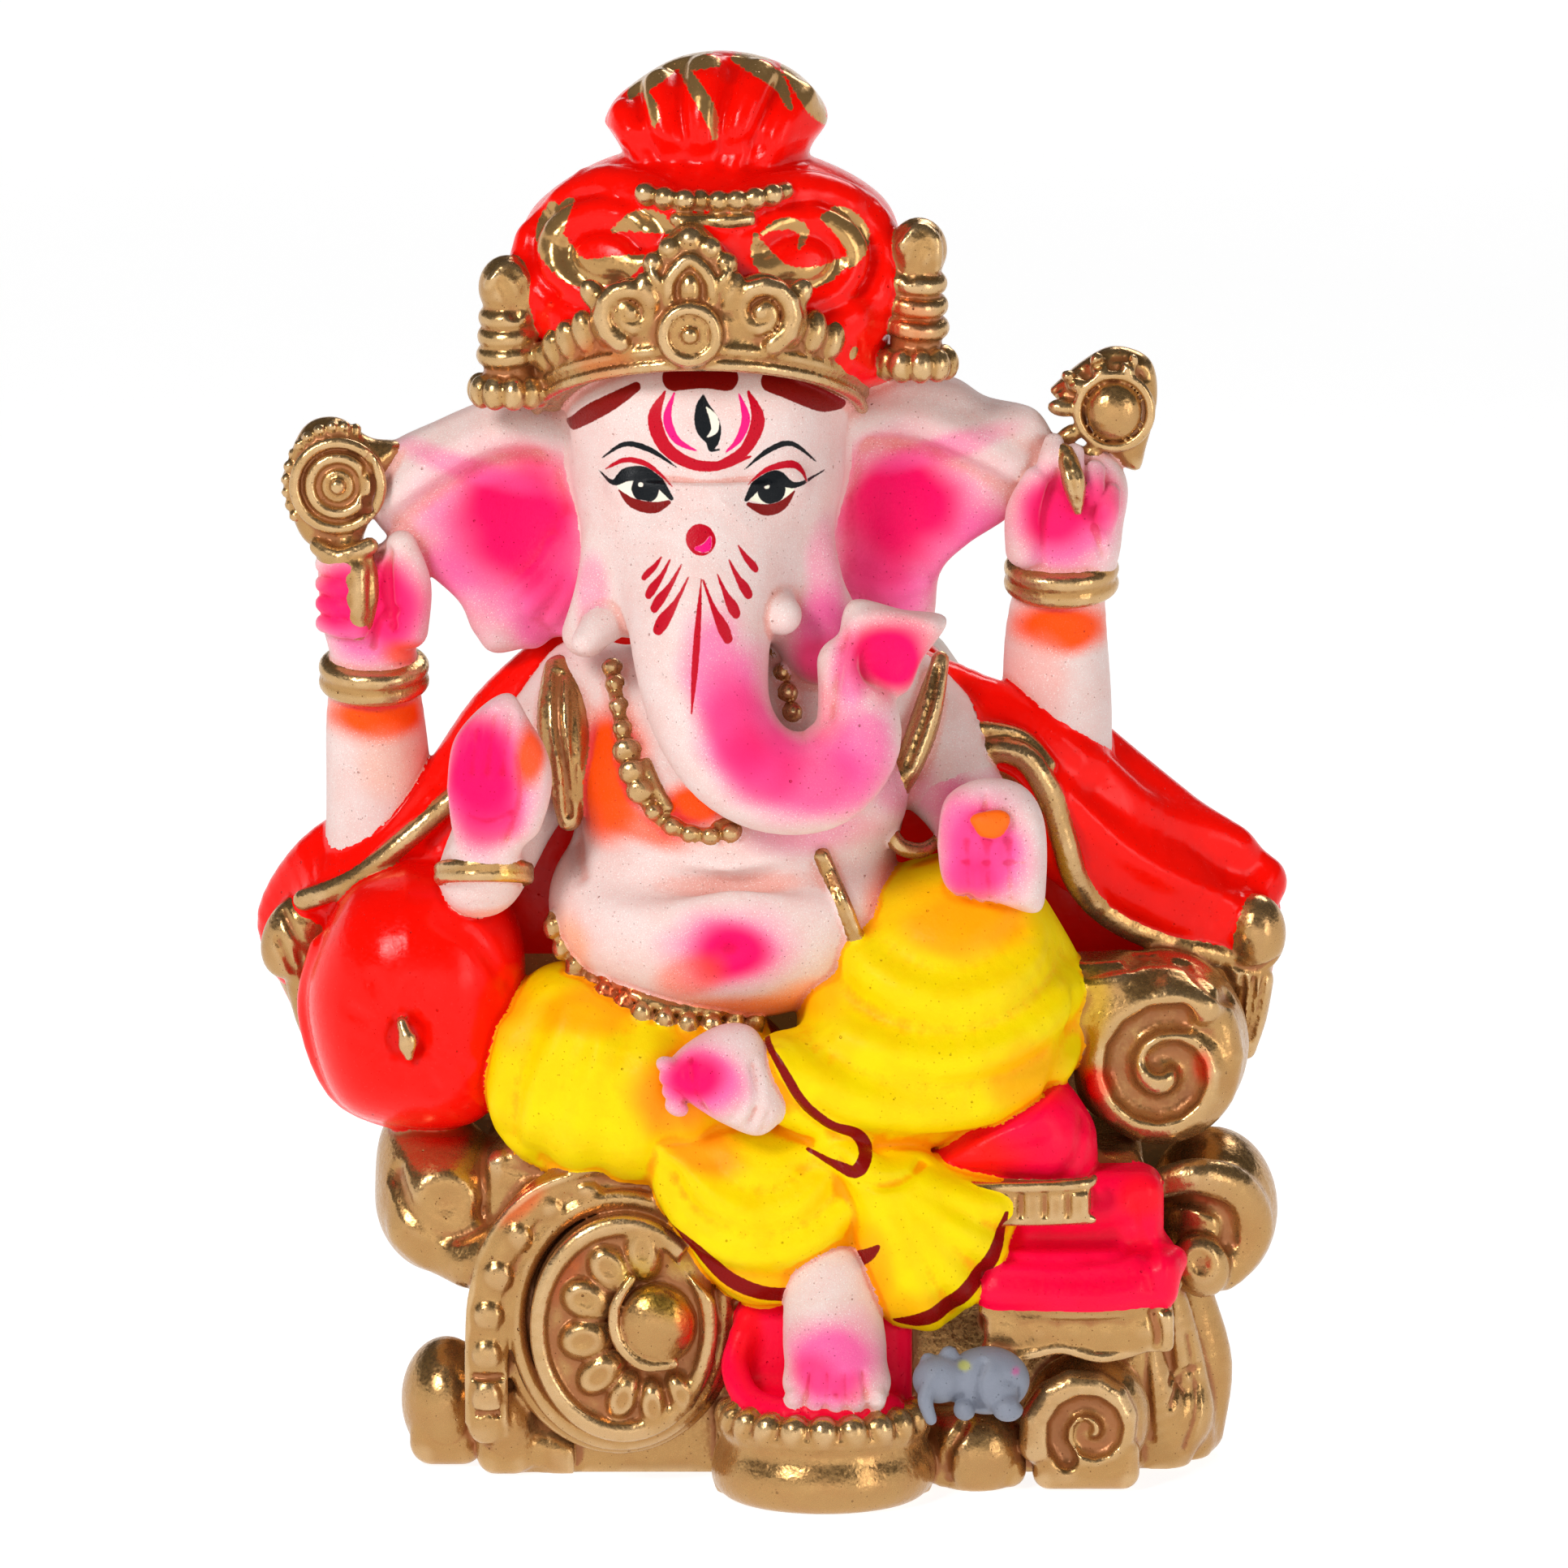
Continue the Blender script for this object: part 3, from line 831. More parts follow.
lotus = Clay("lotus", (44, -12, 164), (69, 16, 202), GOLD)
LOTUS = [(-1, 0.3), (-0.4, 0.75), (0.2, 1), (0.85, 0.8), (1, 0.2), (0.8, -0.6), (0.6, -1), (-0.1, -0.6),
         (-0.5, -0.2)]
lotus.add(puff(LOTUS, (57.6, 4, 187), (19, 22), 4.6, 10, power=2.2))
lotus.add(egg((59.4, -0.6, 187.2), (5, 3.4, 5.2)), 0.3)
lotus.add(ring((59.4, -0.8, 187.2), 6.4, 0.9), 0.5)
for a in (70, 105, 140, 175, 210, 245):
    ca, sa = polar(a)
    lotus.add(egg((59 + 8.4 * ca, 0.2, 187 + 8.0 * sa), (2.9, 1.8, 1.6), -a), 0.4)
lotus.groove([(49, 190.4), (54, 194), (61, 196.6), (65, 193)], 0.7, 0.6, 0.5)
lotus.add(tube([(50.8, -5.4, 181), (52.2, -8.2, 176), (53, -6.6, 170.6)], [1.1, 2.1, 0.9]), 0.5)
lotus.groove([(51, 180), (52.2, 176), (52.8, 172)], 0.5, 0.4, 0.3)

# ---- forms: the head ----

head = Clay("head", (-38, -38, 144), (16, 30, 205), FLESH, fine=True)
head.add(egg((-11.7, -2, 181), (24, 25, 21)))
head.add(egg((-11.7, -4, 190), (25, 23, 13)), 4)
head.add(egg((-11.8, -10, 173), (20.5, 18.4, 20)), 8)
head.add(egg((-12.2, -16, 163), (14, 12.6, 15)), 7)
head.add(egg((-25, -10, 160), (8, 9.5, 11)), 7)
head.add(egg((1.4, -10, 160), (8, 9.5, 11)), 7)
head.add(egg((-20.5, -17.5, 190.5), (8.6, 7.4, 7)), 7)
head.add(egg((-3.6, -17.5, 190.5), (8.6, 7.4, 7)), 7)
for cx in (-23.4, -0.2):
    head.cut(egg((cx, -31.6, 177.6), (7, 4.2, 4.6)), 5)
    head.add(egg((cx, -22.6, 177.8), (5.4, 3.6, 3.7)), 2.5)
head.add(tube([(-33, -14, 150), (-31, -16, 158), (-29.5, -15, 166)], [4.2, 3.6, 2.6]), 4)
head.add(tube([(8.5, -14, 152), (8, -16, 160), (6.5, -15, 167)], [4.4, 3.6, 2.6]), 4)
head.add(egg((8, -14, 149), (7, 8, 8)), 5)

TRUNK = [(-12.1, -17, 172), (-12.5, -22, 160), (-12.9, -26, 150), (-11.3, -29, 139), (-6.7, -31, 131),
         (0.3, -32, 127),
         (8.3, -32, 127.6), (13.9, -31.5, 134), (13.7, -30.5, 141.5), (12.3, -29, 147)]
trunk = Clay("trunk", (-28, -44, 114), (34, -8, 176), FLESH, fine=True)
trunk.add(tube(TRUNK, [13, 13.2, 12, 10.6, 9.8, 9.2, 8.8, 8.0, 6.6, 5.0]))
TIP = [(-0.9, -0.9), (-1, 0.3), (-0.75, 1), (0.2, 0.8), (1.06, 0.62), (0.6, -0.2), (0.2, -0.95)]
trunk.add(puff(TIP, (20.3, -28, 149.6), (18, 17), 4.8, 4.5, hub=(-0.2, 0), power=2.6), 1.6)
trunk.cut(egg((19.6, -34, 149.4), (6.4, 3.4, 5.8)), 1.6)
trunk.ridge([(13.6, 143), (13.2, 149), (14.4, 155), (20, 155.6), (27, 154.4)], 1.5, 0.8, 1.2)
trunk.groove([(9.4, 139.6), (10.4, 146), (12, 152)], 1.4, 0.9, 1.2)
trunk.cut(egg((4.2, -37, 143), (2.4, 10, 7), -12), 3)

tusk = Clay("tusks", (-38, -34, 144), (9, -8, 164), FLESH)
tusk.add(tube([(-27, -14, 154.5), (-30, -19.4, 152.4), (-33, -22.4, 150)], [4.2, 3.6, 2.4]))
tusk.add(tube([(-1, -21, 156.5), (1.2, -27.2, 155.4)], [4.2, 3.5]), 0)

EAR_L = [(-0.96, 0.22), (-0.82, 0.56), (-0.4, 0.77), (0, 0.93), (0.3, 1), (0.85, 0.85), (1, 0.3),
         (0.97, -0.3),
         (0.75, -0.75), (0.1, -1), (-0.12, -0.85), (-0.25, -0.6), (-0.6, -0.3), (-0.9, 0)]
ear_l = Clay("ear_left", (-75, -12, 142), (-26, 14, 193), FLESH)
ear_l.add(puff(EAR_L, (-50.2, 2.7, 167.2), (44, 46.6), 6.5, 6.5, hub=(0.4, 0.1), power=3))
ear_l.cut(egg((-42.6, -10, 170), (13, 10.8, 13.4), 10), 5)
ear_l.cut(egg((-50, -8, 165), (16, 6.8, 11), -25), 5)
ear_l.ridge([(-68, 171), (-60, 177.5), (-51, 182.4), (-42, 183.6), (-34.6, 180), (-32.6, 172)], 2.6, 1.2, 3)
ear_l.groove([(-66, 168), (-58, 173.6), (-50, 178), (-42, 179)], 2.0, 0.8, 2.4)
ear_l.ridge([(-34.4, 166), (-31.6, 160), (-32.4, 152), (-37, 146.6)], 2.8, 1.6, 2.6)
for dx in (0, 4, 7.6):
    ear_l.ridge([(-38.6 - dx, 151 + dx * 0.5), (-35.6 - dx * 0.7, 156 + dx * 0.45),
                 (-34.8 - dx * 0.5, 162 + dx * 0.2)],
                1.3, 0.6, 1.4)
ear_l.ridge([(-46, 150), (-42, 146), (-38.4, 144)], 2.0, 0.6, 2)

EAR_R = [(1.04, 0.47), (0.86, 0.74), (0.47, 0.84), (0.15, 1), (-0.5, 1), (-1, 0.7), (-1, -0.1),
         (-0.8, -0.72),
         (-0.35, -1), (0.02, -0.9), (0.1, -0.5), (0.32, -0.28), (0.68, -0.04), (0.97, 0.3)]
ear_r = Clay("ear_right", (2, -12, 144), (52, 14, 196), FLESH)
ear_r.add(puff(EAR_R, (26.8, 2.6, 169.7), (44, 46.6), 6.5, 6.5, hub=(-0.35, 0.2), power=3))
ear_r.cut(egg((19.6, -10, 171), (13.4, 10.8, 13.4), -8), 5)
ear_r.cut(egg((28, -8, 168), (15, 6.6, 10.6), 22), 5)
ear_r.ridge([(46, 174), (38, 179.6), (29, 184), (19, 186), (11.4, 182.4), (9.4, 175)], 2.6, 1.2, 3)
ear_r.groove([(42, 172.6), (34, 177), (26, 180.4), (17, 181.6)], 2.0, 0.8, 2.4)
ear_r.ridge([(9.4, 170), (8.6, 161), (11, 153), (16, 148.4)], 2.6, 1.4, 2.6)
ear_r.ridge([(14, 158), (20, 155.6), (26, 157)], 1.6, 0.7, 1.8)
ear_r.ridge([(14, 153), (20, 151), (25, 152.4)], 1.6, 0.6, 1.8)

turban = Clay("turban", (-47, -32, 190), (24, 28, 236), RED)
TURBAN = [(-1, 0.05), (-0.88, 0.5), (-0.5, 0.88), (0, 1), (0.5, 0.9), (0.9, 0.55), (1, 0.05), (0.96, -0.6),
          (0.8, -1),
          (-0.8, -1), (-0.9, -0.6)]
turban.add(puff(TURBAN, (-11.7, 0, 213), (68, 42.6), 26, 24, hub=(0, -0.1), power=2.3))
LEFT_SWIRL, RIGHT_SWIRL = (-29.5, 217.4), (4.4, 216.6)
for r, deep in ((5.4, 1.7), (10, 1.7)):
    turban.groove(arc(LEFT_SWIRL, r * 1.3, r, 20 + r * 2, 300 - r * 2.4, 12), 1.7, deep, 2.2)
    turban.groove(arc(RIGHT_SWIRL, r * 1.3, r, -120 + r * 2.4, 160 - r * 2, 12), 1.7, deep, 2.2)
for r in (7.8, 12.6):
    turban.ridge(arc(LEFT_SWIRL, r * 1.3, r, 40, 270, 12), 2.0, 0.7, 2.6)
    turban.ridge(arc(RIGHT_SWIRL, r * 1.3, r, -90, 140, 12), 2.0, 0.7, 2.6)
for path in ([(-43.6, 219), (-42.4, 208), (-36, 200.5)], [(-37, 225), (-30, 229), (-20, 227), (-14, 221)],
             [(19.8, 217), (19, 206), (12.6, 200)], [(13, 226), (6, 229), (-3, 227), (-9, 221)],
             [(-37, 206), (-30, 203.6), (-24, 207)], [(14, 206), (8, 203.6), (1, 207)]):
    turban.ridge(path, 2.6, 0.9, 3.4)

plume = Clay("turban_plume", (-33, -17, 224), (11, 17, 254), RED)
PLUME = [(-1, 0.1), (-0.85, 0.45), (-0.35, 0.92), (0.2, 1), (0.7, 0.75), (1, 0.2), (0.85, -0.25),
         (0.66, -1),
         (-0.7, -1), (-0.82, -0.35)]
plume.add(puff(PLUME, (-10.3, 1, 237), (39, 26.4), 15, 14, hub=(0, -0.3), power=2.4))
for x0, x1, z1 in ((-19, -24.6, 244), (-14.6, -17.4, 250), (-9.6, -6.6, 250.6), (-4.6, 2.4, 247.6)):
    plume.groove([(x0, 231), ((x0 + x1) / 2 - 0.8, (232 + z1) / 2), (x1, z1)], 2.0, 1.3, 2.2)
for x0, x1, z1 in ((-21.4, -27, 241), (-16.8, -20.6, 248), (-12, -11.6, 251), (-7, -1.6, 250),
                   (-2.8, 5.6, 244)):
    plume.ridge([(x0, 231.5), ((x0 + x1) / 2 - 0.8, (232 + z1) / 2), (x1, z1)], 2.2, 0.9, 2.4)
plume.groove([(-24, 236), (-14, 233.4), (-4, 236)], 1.6, 0.5, 2)

RIBBON = [(-22.4, 228.4), (-17, 227.6), (-10.8, 227.2), (-4.5, 227.6), (1.8, 228.6)]
ribbon = Clay("plume_band", (-30, -26, 220), (8, 22, 235), GOLD)
ribbon.add(tube(turban.on(RIBBON, 0.0, 4, [plume]), 1.3, 1), 0.3)
ribbon.add(tube(turban.on([(x, z - 3.4) for x, z in RIBBON[1:-1]], 0.2, 4, [plume]), 1.0, 1), 0.3)
ribbon.beads(RIBBON, 2.0, 1.9, 1.55, 0.3, [turban, plume])
ribbon.add(tube([(-11.7 + 15.2 * math.cos(math.radians(a)), 16.4 * math.sin(math.radians(a)),
                  227.6 - 2.4 * abs(math.sin(math.radians(a)))) for a in range(214, 330, 12)], 0.9, 2), 0.3)


def brow(a, out=0.0, lift=0.0):
    """A place round the brow, from -90 at the left to 90, on the line of the crown's rim."""
    a = math.radians(a)
    return np.array((-13.1 + (28 + out) * math.sin(a), -4 - (28.2 + out) * math.cos(a),
                     188 + 12.5 * math.cos(a) + lift))


crown = Clay("crown_band", (-45, -38, 182), (20, 6, 214), GOLD)
ARC = range(-86, 87, 9)
crown.add(tube([brow(a, -2.2, 2.4) for a in ARC], 3.4, 2))
crown.add(tube([brow(a, -2.4, 6.6) for a in ARC], 3.2, 2), 2)
crown.add(tube([brow(a, 0.5, -0.4) for a in ARC], 1.15, 2), 0.4)
crown.add(tube([brow(a, 0.6, 2.2) for a in ARC], 1.15, 2), 0.4)
for s in (-1, 1):
    for i in range(6):
        a = s * (34 + 8.6 * i)
        size = (2.5 - 0.1 * i, 2.6, 4.4 - 0.36 * i)
        crown.add(egg(brow(a, 1.0, 8.0 - 0.5 * i), size, (0, s * 14, s * a * 0.6)), 0.3)
BOSS = brow(-3, 1.2, 5.0)

crest = Clay("crown_crest", (-24, -38, 194), (1, -12, 226), GOLD)
CREST = [(-1, -1), (-0.95, -0.3), (-0.8, 0.25), (-0.42, 0.8), (0, 1.02), (0.42, 0.8), (0.8, 0.25),
         (0.95, -0.3), (1, -1)]
crest.add(puff(CREST, BOSS + (0, 6.5, 7.6), (18, 21), 4.6, 7, power=2.4))
crest.add(slab(CIRCLE, (BOSS[0], 0, BOSS[2]), (11.6, 11.6), BOSS[1] - 1.4, BOSS[1] + 5, 1.2), 0.6)
crest.add(ring(BOSS + (0, -1.2, 0), 4.5, 1.15), 0.4)
crest.add(ring(BOSS + (0, -1.2, 0), 2.5, 0.7), 0.3)
crest.add(egg(BOSS + (0, -1.6, 0), (1.6, 1.5, 1.6)), 0.3)
TOP = BOSS + (0, 2.2, 7.8)
crest.add(tube([TOP + (-3.6, 0, -3), TOP + (-3.6, -0.3, 1.2), TOP + (0, 0, 4.8), TOP + (3.6, -0.3, 1.2),
                TOP + (3.6, 0, -3)],
               1.25), 0.4)
crest.add(egg(TOP + (0, -0.4, -0.4), (1.9, 1.6, 3.0)), 0.3)
for dx, dz, r in ((0, 7.9, 2.4), (-3.4, 6.4, 2.2), (3.4, 6.4, 2.2), (-6.2, 3.9, 2.1), (6.2, 3.9, 2.1)):
    crest.add(egg(TOP + (dx, 1.6 + 0.12 * dz, dz), (r, 2.3, r)), 0.4)
for s in (-1, 1):
    crest.add(egg(TOP + (s * 7.0, 0.6, -1.2), (2.0, 2.0, 4.0), s * 24), 0.4)
    crest.add(egg(TOP + (s * 5.6, 0.4, 1.0), (1.1, 1.6, 3.0), s * 30), 0.3)

scrolls = Clay("crown_scrolls", (-34, -40, 196), (10, -16, 220), GOLD)
for s, a, size in ((-1, -24, 1.0), (1, 22, 1.12)):
    c = brow(a, 0.8, 9.4)
    path = [(p[0], c[1] - 0.4 + 0.6 * abs(p[0] - c[0]) * 0.2, p[2])
            for p in spiral((c[0], c[2]), 5.4 * size, 1.3, 250 if s < 0 else -70, -1.35 if s < 0 else 1.35,
                            0, 12)]
    scrolls.add(tube(path, list(np.linspace(1.9, 1.2, len(path))), 1), 0.3)
    scrolls.add(egg(c + (0, 2.4, 0), (5.6 * size, 2.2, 5.8 * size)), 0.6)
    scrolls.add(egg(c + (0, -0.2, 0), 1.7), 0.4)
    scrolls.add(egg(c + (s * -5.6, 2, 4.6), (2.6, 2, 3.4), s * -40), 0.5)
    scrolls.add(egg(c + (s * 6.4, 2.6, 2.8), (2.2, 1.9, 3.0), s * 40), 0.5)


def side_ornament(name, c, s, tall):
    """A curl, a stack of rings and a lobed bell beside the turban."""
    c = np.array(c)
    f = Clay(name, c + (-9.5, -9.5, -8), c + (9.5, 9.5, 27), GOLD)
    f.add(drum((c[0], c[1]), 4.2, c[2] - 3, c[2] + tall - 2, 1.5))
    for i, r in enumerate((4.0, 3.8, 3.6)):
        f.add(ring(c + (0, 0, 3.0 + i * (tall - 4.6) / 3), r, 1.9, (s * 0.12, -0.15, 1)), 0.3)
    f.add(drum((c[0], c[1]), 4.4, c[2] - 5.4, c[2] + 1.4, 1.2, 2.0), 0.5)
    for a in range(170, 390, 36):
        ca, sa = polar(a)
        f.add(egg(c + (5.3 * ca, 5.3 * sa, -3.7), (2.3, 2.3, 3.0)), 0.3)
    top = c + (s * 0.4, 0, tall)
    f.add(egg(top, (5.0, 5.0, 5.6)), 0.8)
    f.cut(tube([(top[0] - s * 1.6, top[1] - 5.6, top[2] - 4), (top[0] + s * 0.2, top[1] - 5.9, top[2]),
                (top[0] + s * 1.8, top[1] - 5.4, top[2] + 2.6)], [1.3, 1.5, 1.0]), 0.8)
    f.ridge([(top[0] + 3.2, top[2] - 3), (top[0] + 3.2, top[2] + 2), (top[0], top[2] + 4.4),
             (top[0] - 3.2, top[2] + 1)],
            1.1, 0.6, 0.5)
    return f


side_ornament("side_tassel_left", (-46.2, -11, 196.2), -1, 14.4)
side_ornament("side_tassel_right", (24.6, -11, 201), 1, 16.2)

mouse = Clay("mouse", (23, -48, 12), (45, -28, 32), "grey")
M = np.array((34.6, -38.0, 21.6))
mouse.add(egg(M + (2.5, 1, 0), (7.4, 5.6, 6)))
mouse.add(egg(M + (-6, -1, 0.6), (4.6, 4, 4.2)), 1.5)
mouse.add(egg(M + (-4.2, 0, 4.4), (1.8, 1.4, 2)), 0.5)
mouse.add(egg(M + (-7.8, 0, 3.6), (1.5, 1.2, 1.6)), 0.5)
mouse.add(egg(M + (6, -3.4, -4), (2.8, 2.6, 2.4)), 0.8)
mouse.add(egg(M + (-1.5, -3.4, -4.2), (2, 2.2, 2)), 0.8)
mouse.add(tube([M + (-7, -3, 1), M + (-8.4, -5, -2), M + (-7.4, -5, -5.6)], [1.8, 1.4, 1.1]), 0.8)
mouse.groove([(M[0] + 1.6, M[2] + 4), (M[0] + 0.4, M[2]), (M[0] + 1.4, M[2] - 4)], 0.9, 0.6, 0.8)
mouse.groove([(M[0] + 5.6, M[2] + 1), (M[0] + 8, M[2] - 0.4), (M[0] + 8.4, M[2] - 3)], 0.8, 0.5, 0.7)

# ---- the casting: all forms together ----

# Forms that grow out of one another: the first is the base, each other blends into it over so many mm.
GROUPS = [
    {"head": 5, "trunk": 5, "ear_left": 3, "ear_right": 3, "tusks": 1.2},
    {"torso": 2, "blessing_arm": 2, "resting_arm": 2},
    {"arm_scroll_left": 1, "stud_band_left": 1},
    {"throne_back": 3, "back_roll_left": 3, "back_roll_right": 3},
    {"thigh_wrap_left": 1.5, "shin_wrap_left": 1.5, "knee_wrap_right": 1.5, "dhoti_pleats": 1.5},
]
by_name = {c.name: c for c in Clay.every}
melt = {name: k for group in GROUPS for name, k in group.items()}
cast = np.full(tuple(COUNT), FAR, np.float32)


def window_of(lo, hi):
    return tuple(slice(a, b) for a, b in zip(lo, hi))


def pour(target, origin, clay, k):
    """Blends a form into a larger array whose first cell is at origin."""
    where = window_of(clay.lo - origin, clay.hi - origin)
    target[where] = soft_min(target[where], clay.d, k)


for group in GROUPS:
    members = [by_name[name] for name in group]
    lo = np.min([c.lo for c in members], axis=0)
    hi = np.max([c.hi for c in members], axis=0)
    together = np.full(tuple(hi - lo), FAR, np.float32)
    for c in members:
        pour(together, lo, c, group[c.name])
    cast[window_of(lo, hi)] = soft_min(cast[window_of(lo, hi)], together, BLEND)
for c in Clay.every:
    if c.name not in melt:
        pour(cast, 0, c, BLEND)
heights = (CORNER[2] + STEP * np.arange(COUNT[2])).astype(np.float32)
np.maximum(cast, -heights, out=cast)


def average(a, n):
    """A box average over 2n + 1 points along each axis."""
    for axis in range(3):
        first, last = a.take([0], axis), a.take([-1], axis)
        padded = np.concatenate([np.repeat(first, n + 1, axis), a, np.repeat(last, n, axis)], axis)
        total = np.cumsum(padded, axis, dtype=np.float64)
        size = a.shape[axis]
        top = total.take(range(2 * n + 1, 2 * n + 1 + size), axis)
        a = ((top - total.take(range(size), axis)) / (2 * n + 1)).astype(np.float32)
    return a


def sample(a, lo, p):
    """Values of an array at points, interpolated."""
    q = (p - CORNER) / STEP - lo
    i = np.clip(np.floor(q).astype(int), 0, np.array(a.shape) - 2)
    t = np.clip(q - i, 0, 1)
    out = 0
    for dx in (0, 1):
        for dy in (0, 1):
            for dz in (0, 1):
                w = np.abs(1 - dx - t[:, 0]) * np.abs(1 - dy - t[:, 1]) * np.abs(1 - dz - t[:, 2])
                out = out + w * a[i[:, 0] + dx, i[:, 1] + dy, i[:, 2] + dz]
    return out


def surface(c):
    """Points and faces of one piece: the casting's own surface there, closed under its neighbours."""
    where = window_of(c.lo, c.hi)
    s = c.d - melt.get(c.name, BLEND) / 4
    sink = EASE * np.maximum(s, 0) + PULL * np.maximum(s - LIP, 0)
    field = np.maximum(cast[where] + sink, s - MARGIN)
    step = c.look.get("coarse", 1)
    field = np.clip(field[::step, ::step, ::step], -3, 3).astype(np.float32)
    grid = vdb.FloatGrid(3.0)
    grid.copyFromArray(np.pad(field, 1, constant_values=3.0))
    points, quads = grid.convertToQuads(isovalue=0.0)
    points = (np.array(points, float) - 1) * STEP * step + c.lo * STEP + CORNER
    points, quads = without_crumbs(points, np.array(quads, np.int64))
    return refined(points, quads) if c.look.get("fine") else (points, quads)


def refined(points, quads):
    """One smooth subdivision of a closed mesh of quads, by Catmull and Clark's rule."""
    corners = points[quads]
    centres = corners.mean(axis=1)
    ends = np.stack([quads, np.roll(quads, -1, axis=1)], axis=2).reshape(-1, 2)
    edges, which = np.unique(np.sort(ends, axis=1), axis=0, return_inverse=True)
    which = which.reshape(quads.shape)
    middles = points[edges].mean(axis=1)
    by_edge, faces_at_edge = np.zeros_like(middles), np.zeros(len(edges))
    by_point, faces_at_point = np.zeros_like(points), np.zeros(len(points))
    for j in range(4):
        np.add.at(by_edge, which[:, j], centres)
        np.add.at(faces_at_edge, which[:, j], 1)
        np.add.at(by_point, quads[:, j], centres)
        np.add.at(faces_at_point, quads[:, j], 1)
    round_point, edges_at_point = np.zeros_like(points), np.zeros(len(points))
    for j in range(2):
        np.add.at(round_point, edges[:, j], middles)
        np.add.at(edges_at_point, edges[:, j], 1)
    on_edges = (middles + by_edge / faces_at_edge[:, None]) / 2
    n = faces_at_point[:, None]
    moved = (by_point / n + 2 * round_point / edges_at_point[:, None] + (n - 3) * points) / n
    start_e, start_c = len(points), len(points) + len(edges)
    middle = start_c + np.arange(len(quads))
    small = [np.stack([quads[:, j], start_e + which[:, j], middle, start_e + which[:, j - 1]], axis=1)
             for j in range(4)]
    return np.concatenate([moved, on_edges, centres]), np.concatenate(small)


def without_crumbs(points, quads, share=0.02):
    """Leaves out loose crumbs under a share of the faces."""
    label = np.arange(len(points))
    while True:
        low = label[quads].min(axis=1)
        new = label.copy()
        for j in range(4):
            np.minimum.at(new, quads[:, j], low)
        new = new[new]
        if np.array_equal(new, label):
            break
        label = new
    names, counts = np.unique(label[quads[:, 0]], return_counts=True)
    good = names[counts > max(share * len(quads), 60)]
    quads = quads[np.isin(label[quads[:, 0]], good)]
    used, renumbered = np.unique(quads, return_inverse=True)
    return points[used], renumbered.reshape(quads.shape)

# ---- paint ----

def linear(rgb):
    """sRGB from 0 to 255 as linear light."""
    v = np.array(rgb, float) / 255
    return np.where(v <= 0.04045, v / 12.92, ((v + 0.055) / 1.055) ** 2.4)


HOT, ROSE, ORANGE, AMBER = (248, 0, 98), (246, 88, 160), (255, 80, 0), (255, 160, 4)
BASE = {GOLD: (184, 142, 88), FLESH: (230, 208, 202), RED: (250, 14, 4), YELLOW: (240, 212, 0),
        PINK: (255, 6, 62), "orange": (255, 110, 10), "grey": (134, 139, 152)}

